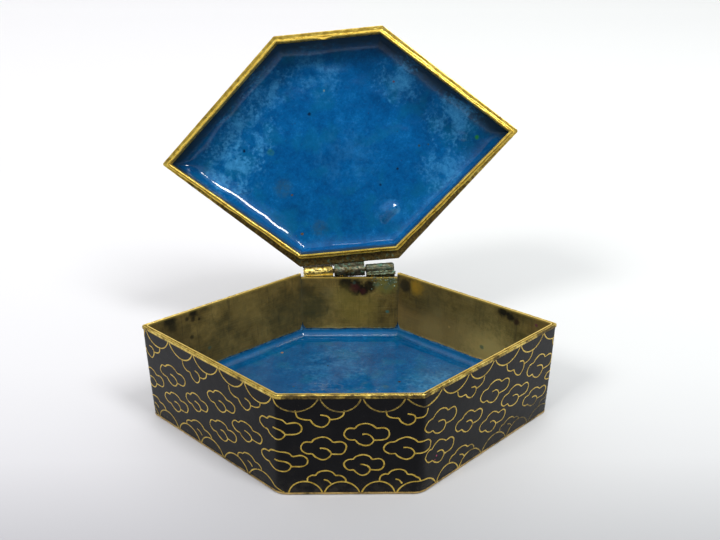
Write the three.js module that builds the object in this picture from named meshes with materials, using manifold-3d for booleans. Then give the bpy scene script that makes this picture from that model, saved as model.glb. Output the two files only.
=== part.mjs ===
// Six-sided enamelled metal box with a hinged lid, standing open.
// Millimetres, +Z up, +Y towards the hinge. The origin is the middle of the
// footprint of the whole open box, on the surface that it stands on.
import * as THREE from 'three';
import { mergeVertices } from 'three/addons/utils/BufferGeometryUtils.js';
import Module from 'manifold-3d';

const wasm = await Module();
wasm.setup();

// ---------------------------------------------------------------- dimensions
const HALF_LENGTH = 50.25;          // centre to the left or right point
const SIDE_Y = -0.15;             // where the two points lie, front to back
const HALF_DEPTH = 32.27;         // centre to the front or back wall
const FRONT_HALF = 15.2;          // half of the short front wall
const BACK_HALF = 14.07;          // half of the short back wall
const BOX_HEIGHT = 24.6;          // foot to the top of the rim

const SHELL = 0.55;               // enamelled wall
const SKIN_STEP = 0.06;           // rim and foot stand proud of the enamel
const CORNER_R = 1.3;             // upright outer corners of the enamel
const RIM_R = 0.6;                // corners of the brass rim
const RIM_TALL = 0.9;
const RIM_WIDE = 0.55;
const FOOT_TALL = 0.45;
const FOOT_WIDE = 0.75;
const FLOOR_TOP = 5.2;            // enamelled floor inside
const FLOOR_UNDER = 3.2;          // recessed underside
const FLOOR_FILLET = 2.1;
const LINER_LOW = 7.6;            // lower edge of the brass lining
const LINER_INSET = 0.62;
const LINER_T = 0.33;
const CORNER_GORE = 1.7;          // height of the open corners at the lining's lower edge
const JOIN = 0.06;                // joint between two soldered pieces

const HINGE_NOTCH_TOP = 23.4;     // lowered back wall under the hinge
const NOTCH_LEFT = -14.1;
const NOTCH_RIGHT = 13.3;

const PARTING_GAP = 0.3;          // closed lid above the rim
const LID_BAND = 0.9;             // brass band around the lid's mouth
const LID_SIDE = 3.9;             // upright enamel side of the lid
const LID_TALL = 7.4;             // mouth to the shoulder of the top
const LID_CROWN = 0.35;           // low rise of the top
const DISH_DEEP = 5.6;            // mouth to the floor of the lid's dish
const COLLAR_TALL = 2.2;          // flange that enters the box
const COLLAR_IN_LID = 1.6;
const COLLAR_T = 0.45;
const COLLAR_TAPER = 0.2;
// inner outline of the flange at the mouth of the lid
const COLLAR_SIDE_X = 47.72;
const COLLAR_FRONT = [14.4, -30.25];
const COLLAR_BACK = [13.5, 28.9];

// hinge line, through HINGE_AT, rising to the right and leaning back
const HINGE_AT = new THREE.Vector3(0, 34.31, 24.51);
const HINGE_DIR = new THREE.Vector3(0.99812, 0.02895, 0.05399).normalize();
const OPEN_DEG = 107.3;           // from closed to resting open
const BARREL_R = 1.45;
const BORE_R = 0.76;
const PIN_R = 0.7;
const KNUCKLES = { left: [-13.15, -4.86], lid: [-4.46, 4.15], right: [4.46, 12.47] };
const LEAF_OUT = -1.0;            // back face of the soldered leaves, from the hinge line
const LEAF_REACH = 3.3;           // how far a leaf reaches along its wall
const LEAF_GAP = 0.12;
const ROUND = 24;                 // sides of barrels and pin
const CORNER_STEPS = 4;

// ------------------------------------------------------------------ outlines
const BOX_OUTLINE = [
  [-HALF_LENGTH, SIDE_Y], [-FRONT_HALF, -HALF_DEPTH], [FRONT_HALF, -HALF_DEPTH],
  [HALF_LENGTH, SIDE_Y], [BACK_HALF, HALF_DEPTH], [-BACK_HALF, HALF_DEPTH],
];
const COLLAR_OUTLINE = [
  [-COLLAR_SIDE_X, 0], [-COLLAR_FRONT[0], COLLAR_FRONT[1]], [COLLAR_FRONT[0], COLLAR_FRONT[1]],
  [COLLAR_SIDE_X, 0], [COLLAR_BACK[0], COLLAR_BACK[1]], [-COLLAR_BACK[0], COLLAR_BACK[1]],
];

// an outline moved inwards by a distance, outwards if it is negative
function inset(outline, by) {
  const n = outline.length;
  const lines = outline.map((a, i) => {
    const b = outline[(i + 1) % n];
    const d = new THREE.Vector2(b[0] - a[0], b[1] - a[1]).normalize();
    return { p: new THREE.Vector2(a[0] - d.y * by, a[1] + d.x * by), d };
  });
  return outline.map((_, i) => {
    const l = lines[(i + n - 1) % n], m = lines[i];
    const cross = l.d.x * m.d.y - l.d.y * m.d.x;
    const t = ((m.p.x - l.p.x) * m.d.y - (m.p.y - l.p.y) * m.d.x) / cross;
    return [l.p.x + l.d.x * t, l.p.y + l.d.y * t];
  });
}

// the same outline with an arc of radius r at each corner
function rounded(outline, r) {
  const n = outline.length, out = [];
  outline.forEach((c, i) => {
    const corner = new THREE.Vector2(...c);
    const a = new THREE.Vector2(...outline[(i + n - 1) % n]).sub(corner).normalize();
    const b = new THREE.Vector2(...outline[(i + 1) % n]).sub(corner).normalize();
    const half = Math.acos(THREE.MathUtils.clamp(a.dot(b), -1, 1)) / 2;
    const centre = a.clone().add(b).normalize().multiplyScalar(r / Math.sin(half)).add(corner);
    const from = corner.clone().addScaledVector(a, r / Math.tan(half)).sub(centre);
    const to = corner.clone().addScaledVector(b, r / Math.tan(half)).sub(centre);
    let turn = to.angle() - from.angle();
    if (turn > Math.PI) turn -= 2 * Math.PI;
    if (turn < -Math.PI) turn += 2 * Math.PI;
    for (let k = 0; k <= CORNER_STEPS; k++) {
      const t = from.angle() + (turn * k) / CORNER_STEPS;
      out.push([centre.x + r * Math.cos(t), centre.y + r * Math.sin(t)]);
    }
  });
  return out;
}

const boxRing = (by, z, r = 0.5) => ({ pts: rounded(inset(BOX_OUTLINE, by), r), z });
const collarRing = (by, z, r = 0.4) => ({ pts: rounded(inset(COLLAR_OUTLINE, by), r), z });

// a solid whose surface runs through the rings in turn: round in a loop, or
// closed by a flat face at the first and the last ring
function throughRings(rings, loop) {
  const n = rings[0].pts.length, pos = [], idx = [];
  rings.forEach((ring) => ring.pts.forEach((p) => pos.push(p[0], p[1], ring.z)));
  const bands = loop ? rings.length : rings.length - 1;
  for (let k = 0; k < bands; k++) {
    const a = k * n, b = ((k + 1) % rings.length) * n;
    for (let i = 0; i < n; i++) {
      const j = (i + 1) % n;
      idx.push(a + i, a + j, b + j, a + i, b + j, b + i);
    }
  }
  if (!loop) {
    const flat = (ring) => THREE.ShapeUtils.triangulateShape(ring.pts.map((p) => new THREE.Vector2(...p)), []);
    const top = (rings.length - 1) * n;
    flat(rings[0]).forEach(([a, b, c]) => idx.push(c, b, a));
    flat(rings.at(-1)).forEach(([a, b, c]) => idx.push(top + a, top + b, top + c));
  }
  const geometry = new THREE.BufferGeometry();
  geometry.setAttribute('position', new THREE.Float32BufferAttribute(pos, 3));
  geometry.setIndex(idx);
  if (volume(geometry) < 0) {
    for (let i = 0; i < idx.length; i += 3) [idx[i + 1], idx[i + 2]] = [idx[i + 2], idx[i + 1]];
    geometry.setIndex(idx);
  }
  return geometry;
}

function volume(geometry) {
  const p = geometry.attributes.position, i = geometry.index.array;
  const a = new THREE.Vector3(), b = new THREE.Vector3(), c = new THREE.Vector3();
  let sum = 0;
  for (let k = 0; k < i.length; k += 3) {
    a.fromBufferAttribute(p, i[k]); b.fromBufferAttribute(p, i[k + 1]); c.fromBufferAttribute(p, i[k + 2]);
    sum += a.dot(b.cross(c));
  }
  return sum / 6;
}

// ------------------------------------------------------- cutting and joining
function solid(geometry) {
  const g = geometry.clone();
  g.deleteAttribute('normal');
  g.deleteAttribute('uv');
  const m = mergeVertices(g, 1e-4);
  return new wasm.Manifold(new wasm.Mesh({
    numProp: 3,
    vertProperties: new Float32Array(m.attributes.position.array),
    triVerts: new Uint32Array(m.index.array),
  }));
}

function geometryOf(manifold) {
  const m = manifold.getMesh();
  const geometry = new THREE.BufferGeometry();
  geometry.setAttribute('position', new THREE.BufferAttribute(new Float32Array(m.vertProperties), 3));
  geometry.setIndex(new THREE.BufferAttribute(new Uint32Array(m.triVerts), 1));
  return geometry;
}

function block(x0, x1, y0, y1, z0, z1) {
  return solid(new THREE.BoxGeometry(x1 - x0, y1 - y0, z1 - z0)
    .translate((x0 + x1) / 2, (y0 + y1) / 2, (z0 + z1) / 2));
}

// ------------------------------------------------------------------- the box
const hingeNotch = (top) => block(NOTCH_LEFT, NOTCH_RIGHT, 30, 34, top, 30);

// enamelled shell: walls, raised floor and the skirt below it
const shellTop = BOX_HEIGHT - RIM_TALL - JOIN;
const shell = solid(throughRings([
  boxRing(SHELL + FLOOR_FILLET, FLOOR_TOP, 0.5),
  boxRing(SHELL + FLOOR_FILLET * 0.45, FLOOR_TOP + FLOOR_FILLET * 0.16, 0.6),
  boxRing(SHELL + FLOOR_FILLET * 0.12, FLOOR_TOP + FLOOR_FILLET * 0.5, 0.7),
  boxRing(SHELL, FLOOR_TOP + FLOOR_FILLET, CORNER_R - SHELL),
  boxRing(SHELL, shellTop, CORNER_R - SHELL),
  boxRing(SKIN_STEP, shellTop, CORNER_R),
  boxRing(SKIN_STEP, FOOT_TALL + JOIN, CORNER_R),
  boxRing(SHELL + 0.1, FOOT_TALL + JOIN, CORNER_R - SHELL),
  boxRing(SHELL + 0.3, FLOOR_UNDER, 0.5),
], false)).subtract(hingeNotch(HINGE_NOTCH_TOP));

// brass rim, open across the hinge
const rim = solid(throughRings([
  boxRing(0, BOX_HEIGHT - RIM_TALL, RIM_R),
  boxRing(0, BOX_HEIGHT - 0.16, RIM_R),
  boxRing(0.14, BOX_HEIGHT, RIM_R),
  boxRing(RIM_WIDE - 0.06, BOX_HEIGHT, 0.35),
  boxRing(RIM_WIDE, BOX_HEIGHT - 0.1, 0.35),
  boxRing(RIM_WIDE, BOX_HEIGHT - RIM_TALL, 0.35),
], true)).subtract(hingeNotch(20));

// brass foot wire
const foot = throughRings([
  boxRing(0.12, 0, CORNER_R),
  boxRing(0, 0.12, CORNER_R),
  boxRing(0, FOOT_TALL, CORNER_R),
  boxRing(FOOT_WIDE, FOOT_TALL, CORNER_R - SHELL),
  boxRing(FOOT_WIDE, 0, CORNER_R - SHELL),
], true);

// brass lining of the walls, with a small open gore at the foot of each corner
let liner = solid(throughRings([
  boxRing(LINER_INSET, LINER_LOW, 0.8),
  boxRing(LINER_INSET, BOX_HEIGHT - 0.02, 0.8),
  boxRing(LINER_INSET + LINER_T, BOX_HEIGHT - 0.02, 0.45),
  boxRing(LINER_INSET + LINER_T, LINER_LOW, 0.45),
], true)).subtract(hingeNotch(HINGE_NOTCH_TOP + 0.05));
inset(BOX_OUTLINE, LINER_INSET + LINER_T / 2).forEach(([x, y]) => {
  const gore = new THREE.ConeGeometry(0.85, CORNER_GORE + 0.5, 6)
    .rotateX(Math.PI / 2).translate(x, y, LINER_LOW + CORNER_GORE / 2 - 0.25);
  liner = liner.subtract(solid(gore));
});

// ----------------------------------------------------------------- the hinge
const across = new THREE.Vector3(0, 1, 0).addScaledVector(HINGE_DIR, -HINGE_DIR.y).normalize();
const upright = new THREE.Vector3().crossVectors(HINGE_DIR, across);
const hingeFrame = new THREE.Matrix4().makeBasis(across, upright, HINGE_DIR).setPosition(HINGE_AT);

// a shape drawn square to the hinge line, run along it from one place to another
function alongHinge(shape, [from, to]) {
  return new THREE.ExtrudeGeometry(shape, { depth: to - from, bevelEnabled: false, curveSegments: 12 })
    .translate(0, 0, from).applyMatrix4(hingeFrame);
}
function disc(r) {
  const shape = new THREE.Shape();
  for (let k = 0; k < ROUND; k++) {
    const t = (2 * Math.PI * (k + 0.5)) / ROUND;
    shape[k ? 'lineTo' : 'moveTo'](r * Math.cos(t), r * Math.sin(t));
  }
  shape.closePath();
  return shape;
}
// a rolled barrel with the leaf that is soldered to a wall: below the hinge
// line on the box (side -1), above it on the lid (side 1)
function knuckle(span, side) {
  const leaf = new THREE.Shape();
  leaf.moveTo(-4, 0.45 * side);
  leaf.lineTo(-0.9, 0.45 * side);
  leaf.lineTo(-0.7, 1.15 * side);
  leaf.lineTo(LEAF_OUT, 1.7 * side);
  leaf.lineTo(LEAF_OUT - 0.15, LEAF_REACH * side);
  leaf.lineTo(-4, LEAF_REACH * side);
  leaf.closePath();
  return solid(alongHinge(disc(BARREL_R), span))
    .add(solid(alongHinge(leaf, span)))
    .subtract(block(-30, 30, 20, HALF_DEPTH + LEAF_GAP, 0, 60))
    .subtract(solid(alongHinge(disc(BORE_R), [span[0] - 1, span[1] + 1])));
}
const pin = alongHinge(disc(PIN_R), [KNUCKLES.left[0] + 0.15, KNUCKLES.right[1] - 0.15]);

// ------------------------------------------------- the lid, drawn when closed
const MOUTH = BOX_HEIGHT + PARTING_GAP;
const lidDish = throughRings([
  collarRing(3.7, MOUTH + DISH_DEEP, 1.5),
  collarRing(2.2, MOUTH + DISH_DEEP - 0.35, 1.3),
  collarRing(1.15, MOUTH + DISH_DEEP - 1.2, 1.0),
  collarRing(0.5, MOUTH + DISH_DEEP - 2.5, 0.7),
  collarRing(0, MOUTH + COLLAR_IN_LID + JOIN, 0.4),
  collarRing(-COLLAR_T - JOIN, MOUTH + COLLAR_IN_LID + JOIN, 0.3),
  collarRing(-COLLAR_T - JOIN, MOUTH + LID_BAND + JOIN, 0.3),
  boxRing(SKIN_STEP, MOUTH + LID_BAND + JOIN, CORNER_R),
  boxRing(SKIN_STEP, MOUTH + LID_SIDE, CORNER_R),
  boxRing(0.55, MOUTH + LID_SIDE + 1.5, CORNER_R + 0.2),
  boxRing(1.7, MOUTH + LID_TALL - 0.95, CORNER_R + 0.4),
  boxRing(3.3, MOUTH + LID_TALL - 0.25, CORNER_R + 0.8),
  boxRing(5.2, MOUTH + LID_TALL, CORNER_R + 1.2),
  boxRing(15, MOUTH + LID_TALL + LID_CROWN, CORNER_R + 1.2),
], false);
const lidBand = throughRings([
  boxRing(0.14, MOUTH, RIM_R),
  boxRing(0, MOUTH + 0.16, RIM_R),
  boxRing(0, MOUTH + LID_BAND, RIM_R),
  collarRing(-COLLAR_T - JOIN, MOUTH + LID_BAND, 0.3),
  collarRing(-COLLAR_T - JOIN, MOUTH, 0.3),
], true);
const lidCollar = throughRings([
  collarRing(-COLLAR_T, MOUTH + COLLAR_IN_LID, 0.3),
  collarRing(-COLLAR_T, MOUTH, 0.3),
  collarRing(COLLAR_TAPER - COLLAR_T, MOUTH - COLLAR_TALL, 0.3),
  collarRing(COLLAR_TAPER, MOUTH - COLLAR_TALL, 0.3),
  collarRing(0, MOUTH, 0.3),
  collarRing(0, MOUTH + COLLAR_IN_LID, 0.3),
], true);

// ------------------------------------------------------------------ assembly
const finish = (color, roughness, metalness) => () => new THREE.MeshStandardMaterial({ color, roughness, metalness });
const blackEnamel = finish(0x1c1d22, 0.18, 0.0);
const brass = finish(0xc9a24a, 0.32, 1.0);
const oldBrass = finish(0x5e5230, 0.5, 1.0);
const darkBrass = finish(0x3f4638, 0.55, 0.8);

function piece(name, geometry, material) {
  const mesh = new THREE.Mesh(geometry, material());
  mesh.name = name;
  geometry.computeVertexNormals();
  return mesh;
}

const box = new THREE.Group();
box.add(
  piece('box_body', geometryOf(shell), blackEnamel),
  piece('box_rim', geometryOf(rim), brass),
  piece('box_foot_wire', foot, brass),
  piece('box_lining', geometryOf(liner), oldBrass),
  piece('hinge_knuckle_left', geometryOf(knuckle(KNUCKLES.left, -1)), brass),
  piece('hinge_knuckle_right', geometryOf(knuckle(KNUCKLES.right, -1)), darkBrass),
  piece('hinge_pin', pin, oldBrass),
);

const lid = new THREE.Group();
lid.add(
  piece('lid_body', lidDish, blackEnamel),
  piece('lid_band', lidBand, brass),
  piece('lid_collar', lidCollar, brass),
  piece('hinge_knuckle_lid', geometryOf(knuckle(KNUCKLES.lid, 1)), darkBrass),
);
lid.children.forEach((mesh) => { mesh.position.copy(HINGE_AT).negate(); });
lid.position.copy(HINGE_AT);
lid.quaternion.setFromAxisAngle(HINGE_DIR, -THREE.MathUtils.degToRad(OPEN_DEG));

// the open box, moved so that the middle of its footprint is the origin
const open = new THREE.Group();
open.add(box, lid);
open.updateMatrixWorld(true);
const reach = new THREE.Box3().setFromObject(open, true);
open.position.set(-(reach.min.x + reach.max.x) / 2, -(reach.min.y + reach.max.y) / 2, -reach.min.z);

const cloudBox = new THREE.Group();
cloudBox.add(open);
cloudBox.updateMatrixWorld(true);

export default cloudBox;
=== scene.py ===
import math

import bmesh
import bpy
import numpy as np
from mathutils import Matrix, Vector
from mathutils.bvhtree import BVHTree


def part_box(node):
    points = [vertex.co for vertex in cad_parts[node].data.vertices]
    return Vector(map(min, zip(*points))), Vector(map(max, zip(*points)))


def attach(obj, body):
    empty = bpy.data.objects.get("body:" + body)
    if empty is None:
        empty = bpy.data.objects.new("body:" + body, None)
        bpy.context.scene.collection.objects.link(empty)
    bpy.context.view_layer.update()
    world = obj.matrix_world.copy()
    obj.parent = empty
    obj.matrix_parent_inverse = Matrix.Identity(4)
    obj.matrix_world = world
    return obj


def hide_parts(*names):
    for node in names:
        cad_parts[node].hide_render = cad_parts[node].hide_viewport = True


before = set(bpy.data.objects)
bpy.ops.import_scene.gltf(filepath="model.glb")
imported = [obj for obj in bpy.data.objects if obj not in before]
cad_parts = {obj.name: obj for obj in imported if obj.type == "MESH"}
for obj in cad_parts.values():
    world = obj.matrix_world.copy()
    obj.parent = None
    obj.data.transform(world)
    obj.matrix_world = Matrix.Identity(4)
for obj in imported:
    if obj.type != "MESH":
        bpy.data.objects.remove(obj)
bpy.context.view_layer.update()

# --------------------------------------------------------------------------
# The shapes are drawn in millimetres, with the middle of the box's foot at
# the origin, +Y towards the hinge, the lid closed. place_box and place_lid
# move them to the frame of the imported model, in metres, the lid open.
# --------------------------------------------------------------------------
lo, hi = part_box("box_body")
SHIFT = np.array([(lo.x + hi.x) * 500, (lo.y + hi.y) * 500, 0.0])

OUT = [(-50.25, -0.15), (-15.2, -32.27), (15.2, -32.27), (50.25, -0.15), (14.07, 32.27), (-14.07, 32.27)]
COL = [(-47.72, 0.0), (-14.4, -30.25), (14.4, -30.25), (47.72, 0.0), (13.5, 28.9), (-13.5, 28.9)]
HEIGHT = 24.6
MOUTH = 24.9
SKIN_R = 1.36                       # corner radius of the enamel, measured at the outline
NOTCH = (-14.1, 13.3)               # lowered back wall under the hinge

HINGE_P = np.array([0.0, 34.31, 24.51])
HINGE_U = np.array([0.99812, 0.02895, 0.05399])
HINGE_U = HINGE_U / np.linalg.norm(HINGE_U)
E1 = np.array([0.0, 1.0, 0.0]) - HINGE_U * HINGE_U[1]
E1 = E1 / np.linalg.norm(E1)
E2 = np.cross(HINGE_U, E1)
OPEN = math.radians(-107.3)


def place_box(p):
    return (np.asarray(p, float) + SHIFT) / 1000.0


def swing(p, angle=OPEN):
    v = np.asarray(p, float) - HINGE_P
    c, s = math.cos(angle), math.sin(angle)
    along = (v @ HINGE_U)[..., None] * HINGE_U
    return HINGE_P + v * c + np.cross(HINGE_U, v) * s + along * (1 - c)


def place_lid(p):
    return (swing(p) + SHIFT) / 1000.0


# ------------------------------------------------------------------ outlines
def inset(outline, by):
    n = len(outline)
    lines = []
    for i in range(n):
        a, b = np.array(outline[i], float), np.array(outline[(i + 1) % n], float)
        d = (b - a) / np.linalg.norm(b - a)
        lines.append((a + np.array([-d[1], d[0]]) * by, d))
    out = []
    for i in range(n):
        (p, d), (q, e) = lines[i - 1], lines[i]
        cross = d[0] * e[1] - d[1] * e[0]
        t = ((q[0] - p[0]) * e[1] - (q[1] - p[1]) * e[0]) / cross
        out.append(p + d * t)
    return np.array(out)


_o = np.array(OUT, float)
WALL = np.linalg.norm(np.roll(_o, -1, 0) - _o, axis=1)
START = np.concatenate([[0], np.cumsum(WALL)])          # where each wall starts, along the outline
AROUND = START[-1]
_dirs = (np.roll(_o, -1, 0) - _o) / WALL[:, None]
TURN = np.array([math.acos(float(np.clip(_dirs[i - 1] @ _dirs[i], -1, 1))) for i in range(6)])
ARC = SKIN_R * np.tan(TURN / 2)                          # half of each corner, along the outline


def ring_xy(outline, S, by, r):
    """Points and outward directions of an outline, inset and with rounded corners, at places S along the box's own outline."""
    S = np.mod(np.asarray(S, float), AROUND)
    by = np.broadcast_to(np.asarray(by, float), S.shape)
    r = np.broadcast_to(np.asarray(r, float), S.shape)
    k = np.clip(np.searchsorted(START, S, side="right") - 1, 0, 5)
    v = (S - START[k]) / WALL[k]
    va, vb = ARC[k] / WALL[k], ARC[(k + 1) % 6] / WALL[k]
    base = np.array(outline, float)
    n = len(base)
    d = np.roll(base, -1, 0) - base
    d = d / np.linalg.norm(d, axis=1)[:, None]
    nrm = np.stack([d[:, 1], -d[:, 0]], 1)               # outwards
    bis = np.array([nrm[i - 1] + nrm[i] for i in range(n)])
    half = np.array([math.acos(float(np.clip(nrm[i - 1] @ nrm[i], -1, 1))) / 2 for i in range(n)])
    bis = bis / np.linalg.norm(bis, axis=1)[:, None]
    k2 = (k + 1) % 6
    # centres of the corner arcs for this inset and radius
    reach = (by + r)[:, None] / np.cos(half)[:, None][k]
    reach2 = (by + r)[:, None] / np.cos(half)[:, None][k2]
    c1 = base[k] - bis[k] * reach
    c2 = base[k2] - bis[k2] * reach2
    a_pt = c1 + nrm[k] * r[:, None]
    b_pt = c2 + nrm[k] * r[:, None]
    ang = np.arctan2(nrm[:, 1], nrm[:, 0])
    t = np.clip((v - va) / np.maximum(1 - va - vb, 1e-9), 0, 1)[:, None]
    pts = a_pt + (b_pt - a_pt) * t
    out_dir = nrm[k].copy()
    first = v < va
    th = ang[k] - half[k] * (1 - np.clip(v / va, 0, 1))
    radial = np.stack([np.cos(th), np.sin(th)], 1)
    pts[first] = (c1 + radial * r[:, None])[first]
    out_dir[first] = radial[first]
    last = v > 1 - vb
    th = ang[k] + half[k2] * np.clip((v - (1 - vb)) / vb, 0, 1)
    radial = np.stack([np.cos(th), np.sin(th)], 1)
    pts[last] = (c2 + radial * r[:, None])[last]
    out_dir[last] = radial[last]
    return pts, out_dir


def places(step, arc=4, extra=(), start=None, stop=None):
    """Places along the outline: close together on the corners, a step apart on the walls."""
    out = []
    for k in range(6):
        a, b = ARC[k], ARC[(k + 1) % 6]
        out += list(START[k] + np.linspace(0, a, arc + 1)[:-1])
        n = max(2, int(round((WALL[k] - a - b) / step)))
        out += list(START[k] + a + np.linspace(0, WALL[k] - a - b, n + 1))
        out += list(START[k] + WALL[k] - b + np.linspace(0, b, arc + 1)[1:-1])
    out = np.array(sorted(set(np.round(list(out) + list(extra), 6))))
    if start is None:
        return out
    both = np.concatenate([out, out + AROUND])
    both = both[(both > start + 0.05) & (both < stop - 0.05)]
    return np.concatenate([[start], both, [stop]])


# --------------------------------------------------------------------- noise
def waves(p, size, seed, count=14, octaves=1):
    """Smooth seeded noise, about -1 to 1, from waves in random directions. size is in mm."""
    p = np.asarray(p, float)
    total, weight = np.zeros(p.shape[:-1]), 0.0
    for o in range(octaves):
        rng = np.random.RandomState(seed + 101 * o)
        k = rng.normal(size=(count, 3))
        k = k / np.linalg.norm(k, axis=1)[:, None] * (2 * math.pi / size) * rng.uniform(0.6, 1.4, (count, 1)) * (2.1 ** o)
        ph = rng.uniform(0, 2 * math.pi, count)
        total = total + np.sin(p @ k.T + ph).sum(-1) / math.sqrt(count) * 0.9 * (0.5 ** o)
        weight += 0.5 ** o
    return total / weight


def dents(p, centres, radii, depths):
    """Smooth hollows (positive depth) at centres."""
    total = np.zeros(np.asarray(p).shape[:-1])
    for c, r, d in zip(centres, radii, depths):
        q = ((np.asarray(p) - np.asarray(c)) ** 2).sum(-1) / (r * r)
        total = total + np.where(q < 9, d * np.exp(-q), 0.0)
    return total


TOP_R = np.array([0.80, 1.36, 1.36, 0.80, 1.36, 1.36])    # corner radii under the rim, from the left point round
LOW_R = np.array([1.90, 4.60, 4.60, 1.70, 3.60, 3.60])    # and at the foot


def skin_r(S, z):
    """Corner radius of the outer enamel at places S and heights z: the corners are sharp at the rim and rounder at the foot."""
    S = np.mod(np.asarray(S, float), AROUND)
    k = np.clip(np.searchsorted(START, S, side="right") - 1, 0, 5)
    v = (S - START[k]) / WALL[k]
    f = np.clip(1 - np.asarray(z, float) / 24.0, 0, 1) ** 1.8
    a = TOP_R[k] + (LOW_R[k] - TOP_R[k]) * f
    k2 = (k + 1) % 6
    b = TOP_R[k2] + (LOW_R[k2] - TOP_R[k2]) * f
    return a + (b - a) * v


def wobble(p):
    """How far the hand-made wall lies in from its plane: 0 to 0.06 mm."""
    return 0.03 + 0.028 * np.clip(waves(p, 17.0, 5), -1, 1)


# -------------------------------------------------------------------- meshes
def normals_of(grid, loop_u=True):
    """Normals of a grid of points (rows, columns, 3), from its neighbours."""
    if loop_u:
        du = np.roll(grid, -1, 1) - np.roll(grid, 1, 1)
    else:
        du = np.gradient(grid, axis=1)
    dv = np.gradient(grid, axis=0)
    n = np.cross(du, dv)
    return n / np.maximum(np.linalg.norm(n, axis=2), 1e-12)[..., None]


def grid_faces(m, n, loop_u=True, loop_v=False):
    rows = m if loop_v else m - 1
    cols = n if loop_u else n - 1
    i = np.arange(rows)[:, None]
    j = np.arange(cols)[None, :]
    a = i * n + j
    b = i * n + (j + 1) % n
    c = ((i + 1) % m) * n + (j + 1) % n
    d = ((i + 1) % m) * n + j
    return np.stack(np.broadcast_arrays(a, b, c, d), -1).reshape(-1, 4)


def build(name, verts, faces, place, body, replaced=(), mats=(), mat_index=None,
          sharp=40, attrs=None, merge=1e-7, recalc=True):
    """One piece from points in mm and faces, placed in the frame."""
    mesh = bpy.data.meshes.new(name)
    verts = place(np.asarray(verts, float))
    mesh.from_pydata([tuple(v) for v in verts], [], [tuple(int(x) for x in f) for f in faces])
    mesh.update()
    for key, values in (attrs or {}).items():
        at = mesh.attributes.new(key, "FLOAT", "POINT")
        at.data.foreach_set("value", np.asarray(values, np.float32))
    for m in mats:
        mesh.materials.append(m)
    if mat_index is not None:
        mesh.polygons.foreach_set("material_index", np.asarray(mat_index, np.int32))
    bm = bmesh.new()
    bm.from_mesh(mesh)
    if merge:
        bmesh.ops.remove_doubles(bm, verts=bm.verts, dist=merge)
        bmesh.ops.dissolve_degenerate(bm, edges=bm.edges, dist=merge / 10)
    if recalc:
        bmesh.ops.recalc_face_normals(bm, faces=bm.faces)
    lim = math.radians(sharp)
    for f in bm.faces:
        f.smooth = True
    for e in bm.edges:
        if len(e.link_faces) == 2 and e.calc_face_angle(0) > lim:
            e.smooth = False
    bm.to_mesh(mesh)
    bm.free()
    ob = bpy.data.objects.new(name, mesh)
    bpy.context.scene.collection.objects.link(ob)
    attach(ob, body)
    if replaced:
        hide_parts(*replaced)
    return ob


class Pile:
    """Collects the vertices, faces and attribute values of many small parts of one piece."""

    def __init__(self):
        self.v, self.f, self.a, self.n = [], [], {}, 0

    def add(self, verts, faces, **attrs):
        self.v.append(np.asarray(verts, float).reshape(-1, 3))
        self.f += [tuple(int(x) + self.n for x in f) for f in faces]
        for key, val in attrs.items():
            self.a.setdefault(key, []).append(np.broadcast_to(np.asarray(val, float), (len(self.v[-1]),)))
        self.n += len(self.v[-1])

    def verts(self):
        return np.concatenate(self.v)

    def attrs(self):
        return {k: np.concatenate(v) for k, v in self.a.items()}


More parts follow.
